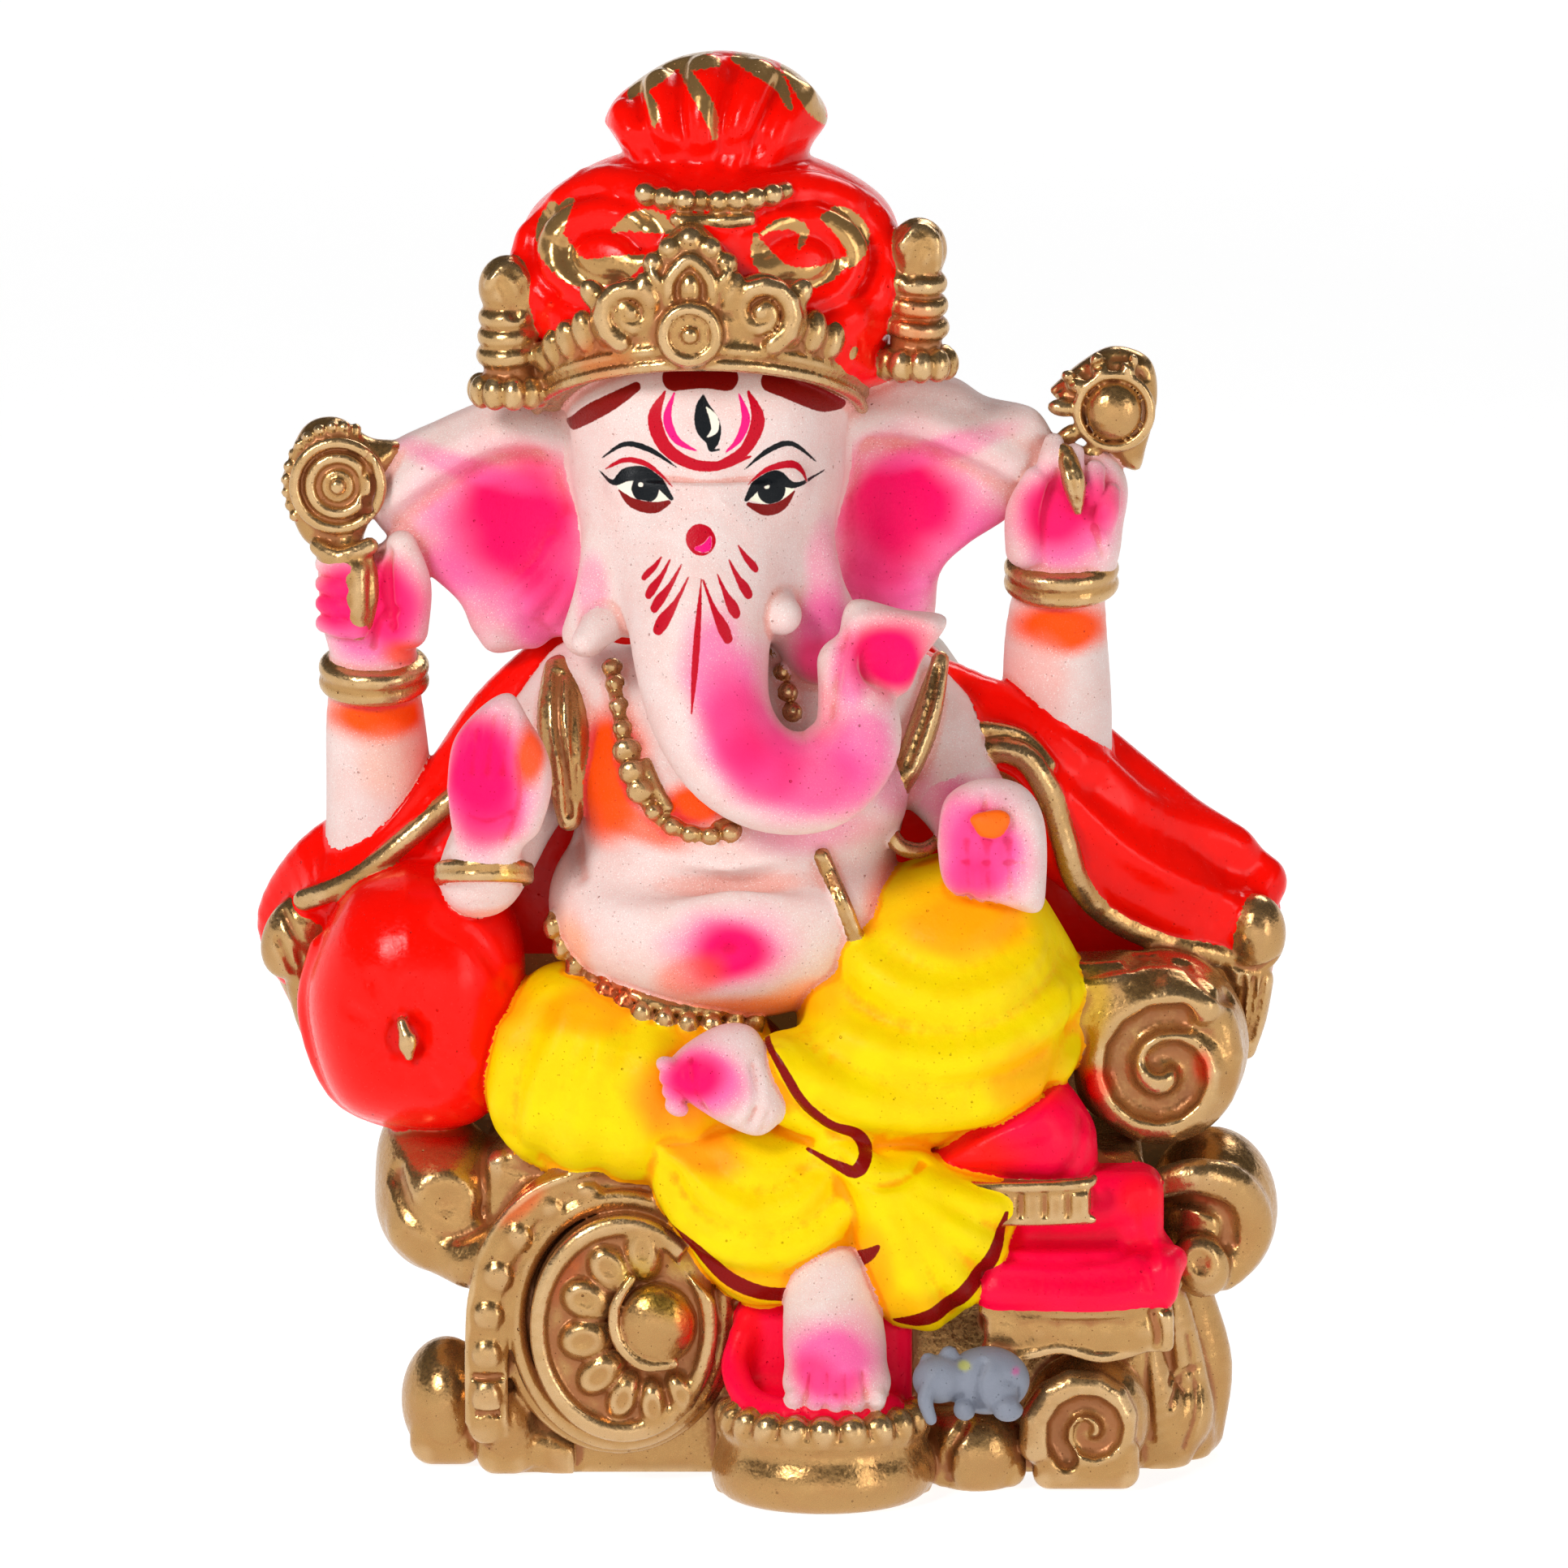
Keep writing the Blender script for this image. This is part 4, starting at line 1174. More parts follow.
# Airbrushed spots for each piece: x, z, half width, half height, colour, strength, turn.
SPRAY = {
    "ear_left": [(-48, 164, 24, 22, ROSE, 0.85, 20), (-39, 152, 10, 14, ROSE, 0.85, 0),
                 (-45, 168, 15, 16, HOT, 1.0, 0),
                 (-39, 158, 8, 12, HOT, 0.5, 0), (-54, 177.5, 17, 3.4, ROSE, 0.6, -20),
                 (-60, 158, 9, 7, ROSE, 0.5, 0)],
    "ear_right": [(25, 166, 23, 22, ROSE, 0.85, -15), (17, 154, 12, 12, ROSE, 0.8, 0),
                  (22, 171, 14, 14, HOT, 1.0, 0),
                  (17, 162, 9, 12, HOT, 0.55, 0), (30, 181, 17, 3.4, ROSE, 0.55, 18),
                  (38, 165, 8, 7, ROSE, 0.5, 0)],
    "head": [(9, 150, 10, 11, ROSE, 0.9, 0), (-32, 158, 4, 10, ROSE, 0.5, 0), (9, 162, 5, 12, ROSE, 0.5, 0),
             (8, 146, 7, 7, HOT, 0.6, 0)],
    "trunk": [(-9, 146, 9, 16, ROSE, 0.8, 10), (-5, 136, 11, 15, ROSE, 0.9, 22),
              (6, 129, 20, 11, ROSE, 0.85, -6),
              (15, 134, 8, 11, ROSE, 0.8, 0), (-7, 138, 7, 13, HOT, 0.55, 18),
              (-2, 131, 10, 9, HOT, 0.6, -30),
              (8, 128.5, 11, 7, HOT, 0.45, 10), (8, 139, 7, 8, HOT, 0.5, 0), (13, 147, 5, 9, ROSE, 0.8, 0),
              (20.5, 149, 11, 10, HOT, 1.0, 0)],
    "torso": [(-29, 127, 9, 14, ORANGE, 1.0, -8), (-30, 121, 9, 10, ORANGE, 0.9, 0),
              (-14, 121, 11, 6, ORANGE, 1.0, 20),
              (-23, 117, 12, 4, ORANGE, 0.8, -15), (6, 117, 16, 6, ROSE, 0.5, 0),
              (-8, 97, 15, 10, ROSE, 0.8, 0),
              (-8, 96.6, 10, 7.4, HOT, 1.0, 0), (-15, 92, 9, 6, ORANGE, 0.6, 20),
              (22, 103, 8, 11, ORANGE, 0.7, 0),
              (-6, 84, 26, 5, (255, 130, 40), 0.85, 0), (-36, 94, 5, 10, (255, 170, 110), 0.6, 0),
              (22, 124, 8, 8, ROSE, 0.5, 0),
              (8, 86, 14, 6, (255, 150, 60), 0.7, 0)],
    "blessing_arm": [(-50, 127, 12, 18, ROSE, 0.95, 0), (-51, 128, 9, 13, HOT, 1.0, 0),
                     (-50, 119, 8, 7, HOT, 0.7, 0),
                     (-42.4, 131, 4, 8, ORANGE, 0.95, -8), (-50, 100, 14, 4, (250, 160, 120), 0.6, 0)],
    "resting_arm": [(36, 114, 12, 14, ROSE, 1.0, 0), (35.6, 116, 8, 8, HOT, 0.45, 0),
                    (35, 109, 6, 6, HOT, 0.5, 0),
                    (37, 103, 10, 3, (255, 170, 90), 0.7, 0), (28, 122, 7, 7, ROSE, 0.5, 0)],
    "raised_arm_left": [(-70, 152, 15, 15, ROSE, 0.9, 0), (-76, 155, 8, 8, HOT, 0.95, 0),
                        (-67.5, 154, 8, 11, HOT, 0.9, 0),
                        (-64, 144.5, 7, 4, ORANGE, 0.8, 0), (-70, 133, 14, 6.5, ORANGE, 1.0, 0),
                        (-66, 124, 10, 9, (250, 190, 160), 0.5, 0)],
    "raised_arm_right": [(51, 169, 14, 14, ROSE, 0.9, 0), (49, 170, 9, 10, HOT, 0.95, 0),
                         (56, 172, 7, 7, HOT, 0.7, 0),
                         (51, 149, 14, 6.5, ORANGE, 1.0, 0), (46, 138, 8, 12, (250, 170, 160), 0.5, 0)],
    "lap_foot": [(-13, 75, 12, 10, ROSE, 0.95, 20), (-14, 76, 7, 5.6, HOT, 1.0, 20)],
    "standing_foot": [(10, 26, 12, 11, ROSE, 0.95, 0), (7, 24, 6, 5, HOT, 0.6, 0),
                      (13, 22, 5, 4, HOT, 0.5, 0)],
    "thigh_wrap_left": [(-17, 71, 11, 10, (255, 140, 20), 0.85, 0), (-30, 86, 17, 6, AMBER, 0.8, 12),
                        (-10, 80, 12, 6, AMBER, 0.7, 0), (-46, 82, 6, 7, (250, 180, 20), 0.7, 0),
                        (-14, 60, 8, 8, AMBER, 0.5, 0)],
    "shin_wrap_left": [(-13, 62, 10, 6, (255, 140, 20), 0.8, -20), (-4, 38, 16, 4, AMBER, 0.6, 0)],
    "knee_wrap_right": [(32, 101, 17, 8, AMBER, 0.9, 0), (44, 74, 9, 9, AMBER, 0.6, 30),
                        (6, 88, 9, 5, AMBER, 0.6, 0),
                        (24, 60, 10, 5, AMBER, 0.5, 0)],
    "dhoti_pleats": [(16, 40, 6, 12, AMBER, 0.7, 0), (24, 34, 9, 5, AMBER, 0.5, 0)],
    "knee_cushion": [(33, 60, 14, 7, (255, 24, 4), 0.9, 0), (48, 72, 8, 5, (255, 20, 10), 0.6, 0)],
    "seat_cushion": [(64, 52, 6, 5, (255, 20, 10), 0.6, 0)],
    "footstool_pad": [(-5, 28, 4, 9, (255, 20, 20), 0.7, 0)],
    "arm_scroll_left": [(-58, 60.5, 9, 3.6, (235, 20, 8), 1.0, 0), (-47, 56, 5, 5, (200, 160, 30), 0.6, 0)],
    "arm_volute_right": [(56, 70, 5, 4, (245, 40, 12), 0.95, 30), (75, 73, 2.4, 4.6, (240, 30, 8), 0.9, 0),
                         (55, 84, 5, 10, (205, 160, 30), 0.7, 0)],
    "medallion": [(-18, 44, 10, 6, (190, 150, 30), 0.6, -30), (-36, 40, 3, 10, (215, 90, 30), 0.7, -25)],
    "medallion_flower": [(-20, 36, 10, 5, (190, 150, 34), 0.7, -30),
                         (-14, 29, 3, 7, (225, 80, 20), 0.7, 30)],
    "stud_band_left": [(-45, 50, 8, 3, (225, 90, 40), 0.7, 40)],
    "waist_belt": [(-28, 88, 8, 5, (215, 60, 20), 0.7, 40)],
    "bangles": [(-62, 136, 5, 3, (230, 50, 15), 0.9, 0), (-46, 108, 4, 3, (225, 170, 20), 0.7, 0)],
    "crown_band": [(-30, 200, 7, 5, (215, 95, 30), 0.5, 0)],
    "side_tassel_right": [(24, 205, 5, 6, (220, 90, 30), 0.6, 0)],
    "mouse": [(33, 25, 1.4, 1, (190, 190, 60), 0.7, 0), (42, 24, 1.0, 1, (200, 90, 150), 0.7, 0)],
}

# Brush strokes in XZ, each a colour, a width or one width for each point, and its points.
CRIMSON, MAROON, BLACK, WHITE, CERISE = "crimson", "maroon", "black", "white", "cerise"
FACE = [
    (WHITE, [0.4, 2.8, 4.0, 2.8, 0.4], [(-27.2, 177.9), (-25, 177.3), (-22.6, 177.1), (-20.2, 176.8),
                                        (-18.3, 176.3)]),
    (WHITE, [0.4, 2.8, 4.0, 2.8, 0.4], [(-4.6, 176), (-2.4, 176.6), (-0.6, 176.8), (1.4, 177),
                                        (3.2, 177.4)]),
    (BLACK, [4.7], [(-22.5, 177.5), (-22.4, 177.5)]),
    (BLACK, [4.7], [(-0.6, 177.2), (-0.5, 177.2)]),
    (WHITE, [0.8], [(-23.3, 178.2), (-23.2, 178.2)]),
    (WHITE, [0.8], [(-1.4, 177.9), (-1.3, 177.9)]),
    (BLACK, [0.2, 1.0, 2.3, 2.3, 0.8], [(-30.6, 179.7), (-28, 178.3), (-25.4, 179.9), (-21.4, 179.7),
                                        (-17.9, 176.2)]),
    (BLACK, [0.8, 2.3, 2.3, 1.0, 0.2], [(-4.9, 175.9), (-2.4, 178.9), (0.4, 179.4), (3.6, 177.9),
                                        (8.6, 179.4)]),
    (MAROON, [0.3, 1.8, 1.9, 0.7], [(-27, 177), (-24.6, 174.9), (-21, 174.4), (-18.3, 175.5)]),
    (MAROON, [0.7, 1.9, 1.8, 0.3], [(-4.6, 175.1), (-1.6, 173.9), (1.2, 174.4), (3.4, 176.8)]),
    (CRIMSON, [0.2, 0.9, 0.9, 0.2], [(-29.4, 180.2), (-26, 182.2), (-22, 181.6), (-17.8, 178.2)]),
    (CRIMSON, [0.2, 0.9, 1.3, 0.8, 0.2], [(-4.6, 178.4), (-1.3, 180.8), (2.6, 181.5), (4.6, 180.3),
                                          (5.6, 178.2)]),
    (BLACK, [0.2, 0.9, 1.0, 0.2], [(-30, 182), (-26, 185), (-21.6, 184.3), (-17, 181.4)]),
    (BLACK, [0.2, 1.0, 0.9, 0.2], [(-5.2, 181), (-1, 184.2), (3, 185), (7.2, 181.2)]),
    (CRIMSON, [0.4, 2.4, 2.4, 2.0, 1.6, 0.4], [(-19, 194.4), (-20.8, 190), (-19, 185), (-14.6, 182.2),
                                               (-9.6, 181.8),
                                              (-4.2, 183.2)]),
    (CRIMSON, [1.6, 2.0, 2.4, 0.5], [(-9.6, 181.8), (-5.2, 184.4), (-2.9, 189.6), (-4.6, 194.4)]),
    (CERISE, [0.3, 1.5, 1.3, 0.3], [(-17.4, 194.2), (-18.6, 190), (-17, 186.2), (-13.6, 184.4)]),
    (CERISE, [0.3, 1.2, 1.5, 0.3], [(-8.4, 184.2), (-6.2, 186.4), (-5, 190), (-6.2, 194)]),
    (BLACK, [0.4, 2.6, 4.4, 2.6, 0.8, 0.3], [(-12.4, 193.8), (-12.4, 191.6), (-11.6, 188.8),
                                             (-10.8, 186.4), (-11, 184.6),
                                          (-9.6, 184.6)]),
    (WHITE, [0.3, 1.4, 1.2, 0.3], [(-11.8, 191.8), (-10.6, 190), (-10.4, 188), (-11.6, 186.8)]),
    (BLACK, [0.3, 1.5, 1.4, 0.3], [(-12.8, 190.6), (-11.9, 189), (-12, 187.6), (-12.6, 187)]),
    (CRIMSON, [5.0], [(-12.9, 169.6), (-12.7, 169.3)]),
    (CERISE, [0.6, 1.6, 0.5], [(-13.6, 168), (-11.9, 168.2), (-11.2, 169.8)]),
]
STROKES = [((-19.6, 166.3), (-22.7, 162.4), 1.1), ((-18.1, 166), (-21.9, 159.6), 1.5),
           ((-16.1, 165.3), (-20.9, 157.5), 1.7),
           ((-14.9, 163.3), (-20.2, 154), 2.2), ((-12.4, 162.8), (-8.1, 152.7), 2.0),
           ((-9.9, 163.7), (-6.7, 156.8), 1.9),
           ((-7.9, 166), (-4.5, 159.8), 1.7), ((-6.3, 168.3), (-3.3, 164), 1.3)]
FACE += [(CRIMSON, [0.3, 0.9, w, w * 0.8], [a, (a[0] * 0.6 + b[0] * 0.4, a[1] * 0.55 + b[1] * 0.45),
                                           (a[0] * 0.2 + b[0] * 0.8, a[1] * 0.2 + b[1] * 0.8), b]) for a,
         b, w in STROKES]
FACE += [(CRIMSON, [0.2, 1.0, 1.2, 0.2], [(-12.7, 163), (-13.2, 156), (-13.8, 148), (-14.4, 140)])]
FACE += [(MAROON, [4.2, 4.6, 4.2], [(-17.4, 196.6), (-12.4, 197.2), (-8.4, 196.6)]),
         (MAROON, [3.6, 4.4, 3.6, 2], [(-0.6, 196), (4, 194.4), (8.6, 191.6), (11.4, 190.4)]),
         (MAROON, [1.6, 2.6, 2.8, 2], [(-24, 195), (-28, 192.4), (-32, 189.6), (-35.4, 186.4)])]
STROKE = {"head": FACE, "trunk": FACE}
HOOK = [(-3.1, 83.6), (1, 77.8), (5.1, 70.9), (9.7, 66.8), (14.2, 65), (15.8, 61.9), (14.2, 59),
        (11.4, 59.4), (5.7, 61.7)]
HEM = [(-19, 48), (-13.6, 43.8), (-7.7, 38.4), (1, 35.8), (9.7, 38.4), (15.6, 43), (18, 45.6)]
PLEAT_HEM = [(40.4, 51), (37.8, 43), (33.4, 37.4), (29, 33.8), (24.4, 32), (21, 31.6)]
HEMS = [(MAROON, [0.5, 1.6, 1.9, 1.8, 2.2, 2.4, 2.4, 1.8, 0.6], HOOK),
        (MAROON, [0.6, 2.4, 2.8, 2.8, 2.6, 2.4, 0.8], HEM), (MAROON, [0.8, 2.8, 3.2, 3.2, 2.6, 0.8],
                                                             PLEAT_HEM)]
for wrap in ("knee_wrap_right", "shin_wrap_left", "dhoti_pleats", "thigh_wrap_left"):
    STROKE[wrap] = HEMS

# Gold leaf over red paint: swirls on the turban and the plume's upper folds.
GILT = {
    "turban": [([2, 5.4, 5.0, 4.6, 1.6], [(-38.6, 224.4), (-38.8, 219), (-34, 214.6), (-27.4, 215.4),
                                          (-23, 217.2)]),
               ([1.0, 3.4, 3.4, 1.6], [(-35.4, 225.8), (-38, 222.4), (-38.6, 219), (-37, 216.6)]),
               ([0.6, 3.2, 3.6, 0.8], [(-28, 221.6), (-24.4, 223.4), (-20.6, 223.6), (-17.4, 222.2)]),
               ([0.6, 3.6, 3.8, 3.4, 1.0], [(-3.4, 221.6), (-2, 217.4), (2.6, 214), (8.4, 214.2),
                                            (12.6, 216.6)]),
               ([1.2, 4.6, 4.4, 1.0], [(13.2, 215.8), (14.2, 219.6), (11.6, 223), (8.4, 224)]),
               ([0.5, 2.0, 2.0, 0.6], [(-2.6, 221.4), (1.4, 223.2), (5, 221.8), (4.2, 219)])],
    "turban_plume": [([1.5, 3.4, 3, 2.4, 1.2], [(-25, 243.4), (-22.4, 246.4), (-17.6, 249), (-13, 249.6),
                                                (-10, 249.4)]),
                     ([1.6, 2.6, 2.4, 0.8], [(-16.4, 248.6), (-13.4, 245), (-11.2, 241), (-10.4, 237)]),
                     ([1.2, 2.6, 2.4, 1.0], [(-7, 249.6), (-3, 248.6), (0.6, 246), (2.6, 242)]),
                     ([1.0, 3.0, 2.8, 1.0], [(1.6, 248), (4.6, 245.4), (7, 241.6), (8.8, 238.6)]),
                     ([0.8, 1.8, 1.6, 0.6], [(-23, 245), (-21.4, 242.6), (-20.8, 240.6), (-21, 239)])],
}


def stroke_distance(p, widths, path):
    """Distance in XZ from points to the edge of a tapered brush stroke; inside it is negative."""
    if len(widths) == 1:
        widths = widths * len(path)
    line = curve([(x, z, w) for (x, z), w in zip(path, widths)], 6)
    best = np.full(len(p), 9.0)
    for a, b in zip(line[:-1], line[1:]):
        e = b[:2] - a[:2]
        t = np.clip(((p[:, 0] - a[0]) * e[0] + (p[:, 2] - a[1]) * e[1]) / max(e @ e, 1e-9), 0, 1)
        d = np.hypot(p[:, 0] - a[0] - t * e[0], p[:, 2] - a[1] - t * e[1])
        best = np.minimum(best, d - (a[2] + t * (b[2] - a[2])) / 2)
    return best


def wander(p, size, seed=0.0):
    """A smooth, repeatable unevenness from -1 to 1."""
    x, y, z = (p / size).T
    across = np.sin(x * 1.7 + 2.1 * np.sin(z * 1.3 + seed))
    upward = np.sin(z * 2.1 + 1.7 * np.sin(x * 0.9 + y + seed * 2))
    inward = np.sin(y * 1.9 + x * 0.7 + seed)
    return (across + upward + inward) / 3


# The back of the casting is left unpainted on these pieces.
RAW, REAR = linear((226, 216, 206)), 24.0
BARE_BEHIND = ("throne_back", "turban", "turban_plume", "back_roll_left", "back_roll_right",
               "rear_scroll_right",
               "corner_leaves_right", "foot_lobes_left", "throne_body", "arm_volute_right",
               "arm_scroll_left",
               "bolster_cushion", "side_tassel_left", "side_tassel_right", "axe", "lotus")
CLEAR = 9.0  # a stroke's distance where there is no stroke


def paint_piece(c, p, n):
    """The painted colour at each point of a piece, in linear light, and its stroke distances."""
    col = np.tile(linear(BASE[c.paint]), (len(p), 1))
    ahead = np.clip(0.45 - n[:, 1] * 1.1, 0, 1)
    for x, z, rx, rz, rgb, strength, turn in SPRAY.get(c.name, []):
        t = math.radians(turn)
        dx, dz = p[:, 0] - x, p[:, 2] - z
        u, v = dx * math.cos(t) + dz * math.sin(t), -dx * math.sin(t) + dz * math.cos(t)
        reach = 1 - np.sqrt((u / rx) ** 2 + (v / rz) ** 2) + 0.1 * wander(p, 4.0, x)
        w = np.clip(reach / 0.62, 0, 1)
        w = (w * w * (3 - 2 * w) * strength * ahead)[:, None]
        col = col * (1 - w) + linear(rgb) * w
    bare = np.zeros(len(p))
    if c.name in BARE_BEHIND:
        bare = np.clip((p[:, 1] - REAR + 2.5 * wander(p, 7.0, 3.0)) / 1.2, 0, 1)
        col = col * (1 - bare[:, None]) + RAW * bare[:, None]
    inks = {}
    for ink, widths, path in STROKE.get(c.name, []):
        d = stroke_distance(p, widths, path)
        d = np.where(n[:, 1] < 0.1, d, CLEAR)
        # a later stroke covers the earlier ones
        for other in inks:
            if other != ink:
                inks[other] = np.maximum(inks[other], -d)
        inks[ink] = np.minimum(inks.get(ink, CLEAR), d)
    gilt = np.full(len(p), CLEAR)
    for widths, path in GILT.get(c.name, []):
        gilt = np.minimum(gilt, np.where(n[:, 1] < 0.3, stroke_distance(p, widths, path), CLEAR))
    if c.name == "throne_back":
        lower = np.clip((88 - p[:, 2]) / 2 + wander(p, 6), 0, 1)
        gilt = np.where((lower > 0.5) & (bare < 0.5), -1.0, CLEAR)
    return col, inks, gilt, bare

# ---- materials ----

MM = 1000.0


class Wires:
    """Short calls for the nodes of one material."""

    def __init__(self, name):
        self.material = bpy.data.materials.new(name)
        self.material.use_nodes = True
        self.tree = self.material.node_tree
        self.shader = self.tree.nodes["Principled BSDF"]
        coords = self.tree.nodes.new("ShaderNodeTexCoord")
        scale = self.tree.nodes.new("ShaderNodeVectorMath")
        scale.operation = "SCALE"
        scale.inputs["Scale"].default_value = MM
        self.tree.links.new(coords.outputs["Object"], scale.inputs[0])
        self.place = scale.outputs[0]

    def put(self, socket, value):
        if isinstance(value, bpy.types.NodeSocket):
            self.tree.links.new(value, socket)
        else:
            socket.default_value = value

    def attribute(self, name, output="Fac"):
        node = self.tree.nodes.new("ShaderNodeAttribute")
        node.attribute_name = name
        return node.outputs[output]

    def noise(self, scale, detail=3.0, rough=0.55):
        node = self.tree.nodes.new("ShaderNodeTexNoise")
        node.inputs["Scale"].default_value = scale
        node.inputs["Detail"].default_value = detail
        node.inputs["Roughness"].default_value = rough
        self.tree.links.new(self.place, node.inputs["Vector"])
        return node.outputs["Fac"]

    def dots(self, scale):
        node = self.tree.nodes.new("ShaderNodeTexVoronoi")
        node.inputs["Scale"].default_value = scale
        self.tree.links.new(self.place, node.inputs["Vector"])
        return node.outputs["Distance"]

    def math(self, kind, a, b=0.0, clamp=False):
        node = self.tree.nodes.new("ShaderNodeMath")
        node.operation = kind
        node.use_clamp = clamp
        self.put(node.inputs[0], a)
        self.put(node.inputs[1], b)
        return node.outputs[0]

    def ramp(self, value, low, high, to_low=0.0, to_high=1.0):
        """A smooth step from low to high."""
        node = self.tree.nodes.new("ShaderNodeMapRange")
        node.interpolation_type = "SMOOTHSTEP"
        for key, v in zip(("Value", "From Min", "From Max", "To Min", "To Max"),
                          (value, low, high, to_low, to_high)):
            self.put(node.inputs[key], v)
        return node.outputs[0]

    def mix(self, factor, a, b, blend="MIX"):
        node = self.tree.nodes.new("ShaderNodeMix")
        node.data_type = "RGBA"
        node.blend_type = blend
        self.put(node.inputs[0], factor)
        for socket, value in ((node.inputs[6], a), (node.inputs[7], b)):
            self.put(socket, value if isinstance(value, bpy.types.NodeSocket) else tuple(value) + (1.0,))
        return node.outputs[2]

    def bump(self, height, depth, onto=None):
        """Depth is in mm, for heights from 0 to 1."""
        node = self.tree.nodes.new("ShaderNodeBump")
        node.inputs["Strength"].default_value = 1.0
        node.inputs["Distance"].default_value = depth / MM
        self.tree.links.new(height, node.inputs["Height"])
        if onto is not None:
            self.tree.links.new(onto, node.inputs["Normal"])
        return node.outputs[0]


def colour(*rgb):
    return tuple(float(v) for v in linear(rgb))


INKS = {CRIMSON: colour(190, 0, 30), CERISE: colour(240, 20, 120), MAROON: colour(128, 12, 8),
        WHITE: colour(240, 238, 214), BLACK: colour(12, 16, 20)}


def coat(name, crease, creasing=0.6, metal=0.0, rough=0.5, grain=0.05, pores=0.0, glow=0.0,
         speckle=0.0, worn=None, inks=(), gilt=False, gloss=0.3, waves=0.1, deep=None):
    """A brushed or sprayed coat of paint on cast plaster."""
    w = Wires(name)
    patchy = w.noise(0.16, 3.0)
    fine = w.noise(1.3, 4.0, 0.6)
    dusty = w.noise(5.5, 2.0, 0.6)
    base = w.attribute("paint", "Color")
    hollow = w.attribute("cavity")  # from -1 on an edge to 1 in a crease
    bare = w.attribute("bare")
    pale = 1.0
    if deep is not None:
        # where the spray is strong, the paint underneath and its specks don't show
        split = w.tree.nodes.new("ShaderNodeSeparateColor")
        w.put(split.inputs[0], base)
        pale = w.ramp(split.outputs["Green"], 0.03, 0.4)
        crease = w.mix(pale, deep, crease)
    base = w.mix(w.math("MULTIPLY", w.ramp(patchy, 0.35, 0.7, 0.0, 0.16), pale), base, crease)
    uneven = w.math("ADD", hollow, w.math("MULTIPLY", w.math("SUBTRACT", fine, 0.5), 0.35))
    in_crease = w.ramp(uneven, 0.12, 0.62, 0.0, creasing)
    in_crease = w.math("MULTIPLY", in_crease, w.math("SUBTRACT", 1.0, bare))
    base = w.mix(in_crease, base, crease)
    metallic = w.math("MULTIPLY", w.math("SUBTRACT", 1.0, bare), metal) if metal else None
    if metal:
        metallic = w.math("MULTIPLY", metallic, w.math("SUBTRACT", 1.0,
                                                       w.math("MULTIPLY", in_crease, 0.75)))
    if speckle:
        spots = w.math("MULTIPLY", w.ramp(dusty, 0.54, 0.7), w.math("MULTIPLY", pale, speckle))
        base = w.mix(spots, base, colour(236, 160, 156))
        light = w.math("MULTIPLY", w.ramp(w.noise(4.1, 2.0), 0.56, 0.72), w.math("MULTIPLY", pale, speckle))
        base = w.mix(light, base, colour(250, 246, 242))
    if worn:
        rubbed = w.math("MULTIPLY", w.ramp(hollow, -0.2, -0.8), w.ramp(patchy, 0.4, 0.6, 0.5, 1.0))
        base = w.mix(w.math("MULTIPLY", rubbed, 0.4), base, worn)
    if gilt:
        leaf = w.math("ADD", w.attribute("gilt"), w.math("MULTIPLY", w.math("SUBTRACT", fine, 0.5), 1.3))
        leaf = w.ramp(leaf, 0.12, -0.12)
        base = w.mix(leaf, base, colour(184, 142, 88))
        metallic = w.math("MULTIPLY", leaf, 0.72)
    pits = None
    if pores:
        near = w.math("ADD", w.dots(0.24), w.math("MULTIPLY", w.noise(0.9), 0.14))
        pits = w.ramp(near, 0.085, 0.13)
        small = w.ramp(w.math("ADD", w.dots(0.9), w.math("MULTIPLY", fine, 0.1)), 0.09, 0.15)
        pits = w.math("MULTIPLY", pits, small)
        dark = w.math("MULTIPLY", w.math("SUBTRACT", 1.0, pits), pores)
        base = w.mix(dark, base, crease)
    roughness = w.ramp(fine, 0.3, 0.7, rough - 0.08, rough + 0.08)
    roughness = w.math("ADD", roughness, w.math("MULTIPLY", bare, 0.72 - rough), True)
    if metal:
        roughness = w.math("ADD", roughness, w.math("MULTIPLY", in_crease, 0.12), True)
    for ink in inks:
        edge = w.math("ADD", w.attribute("ink_" + ink), w.math("MULTIPLY", w.math("SUBTRACT", fine, 0.5),
                                                               0.28))
        drawn = w.math("MULTIPLY", w.ramp(edge, 0.09, -0.09), w.ramp(dusty, 0.18, 0.3, 0.9, 1.0))
        base = w.mix(drawn, base, INKS[ink])
        roughness = w.math("SUBTRACT", roughness, w.math("MULTIPLY", drawn, 0.16), True)
    w.put(w.shader.inputs["Base Color"], base)
    w.put(w.shader.inputs["Roughness"], roughness)
    if metallic is not None:
        w.put(w.shader.inputs["Metallic"], metallic)
    if glow:
        w.put(w.shader.inputs["Emission Color"], base)
        w.shader.inputs["Emission Strength"].default_value = glow
    w.shader.inputs["Specular IOR Level"].default_value = gloss
    normal = w.bump(w.noise(0.55, 2.0), waves)
    normal = w.bump(w.noise(3.4, 3.0, 0.6), grain, normal)
    if pits is not None:
        normal = w.bump(pits, 0.35, normal)
    w.put(w.shader.inputs["Normal"], normal)
    return w.material


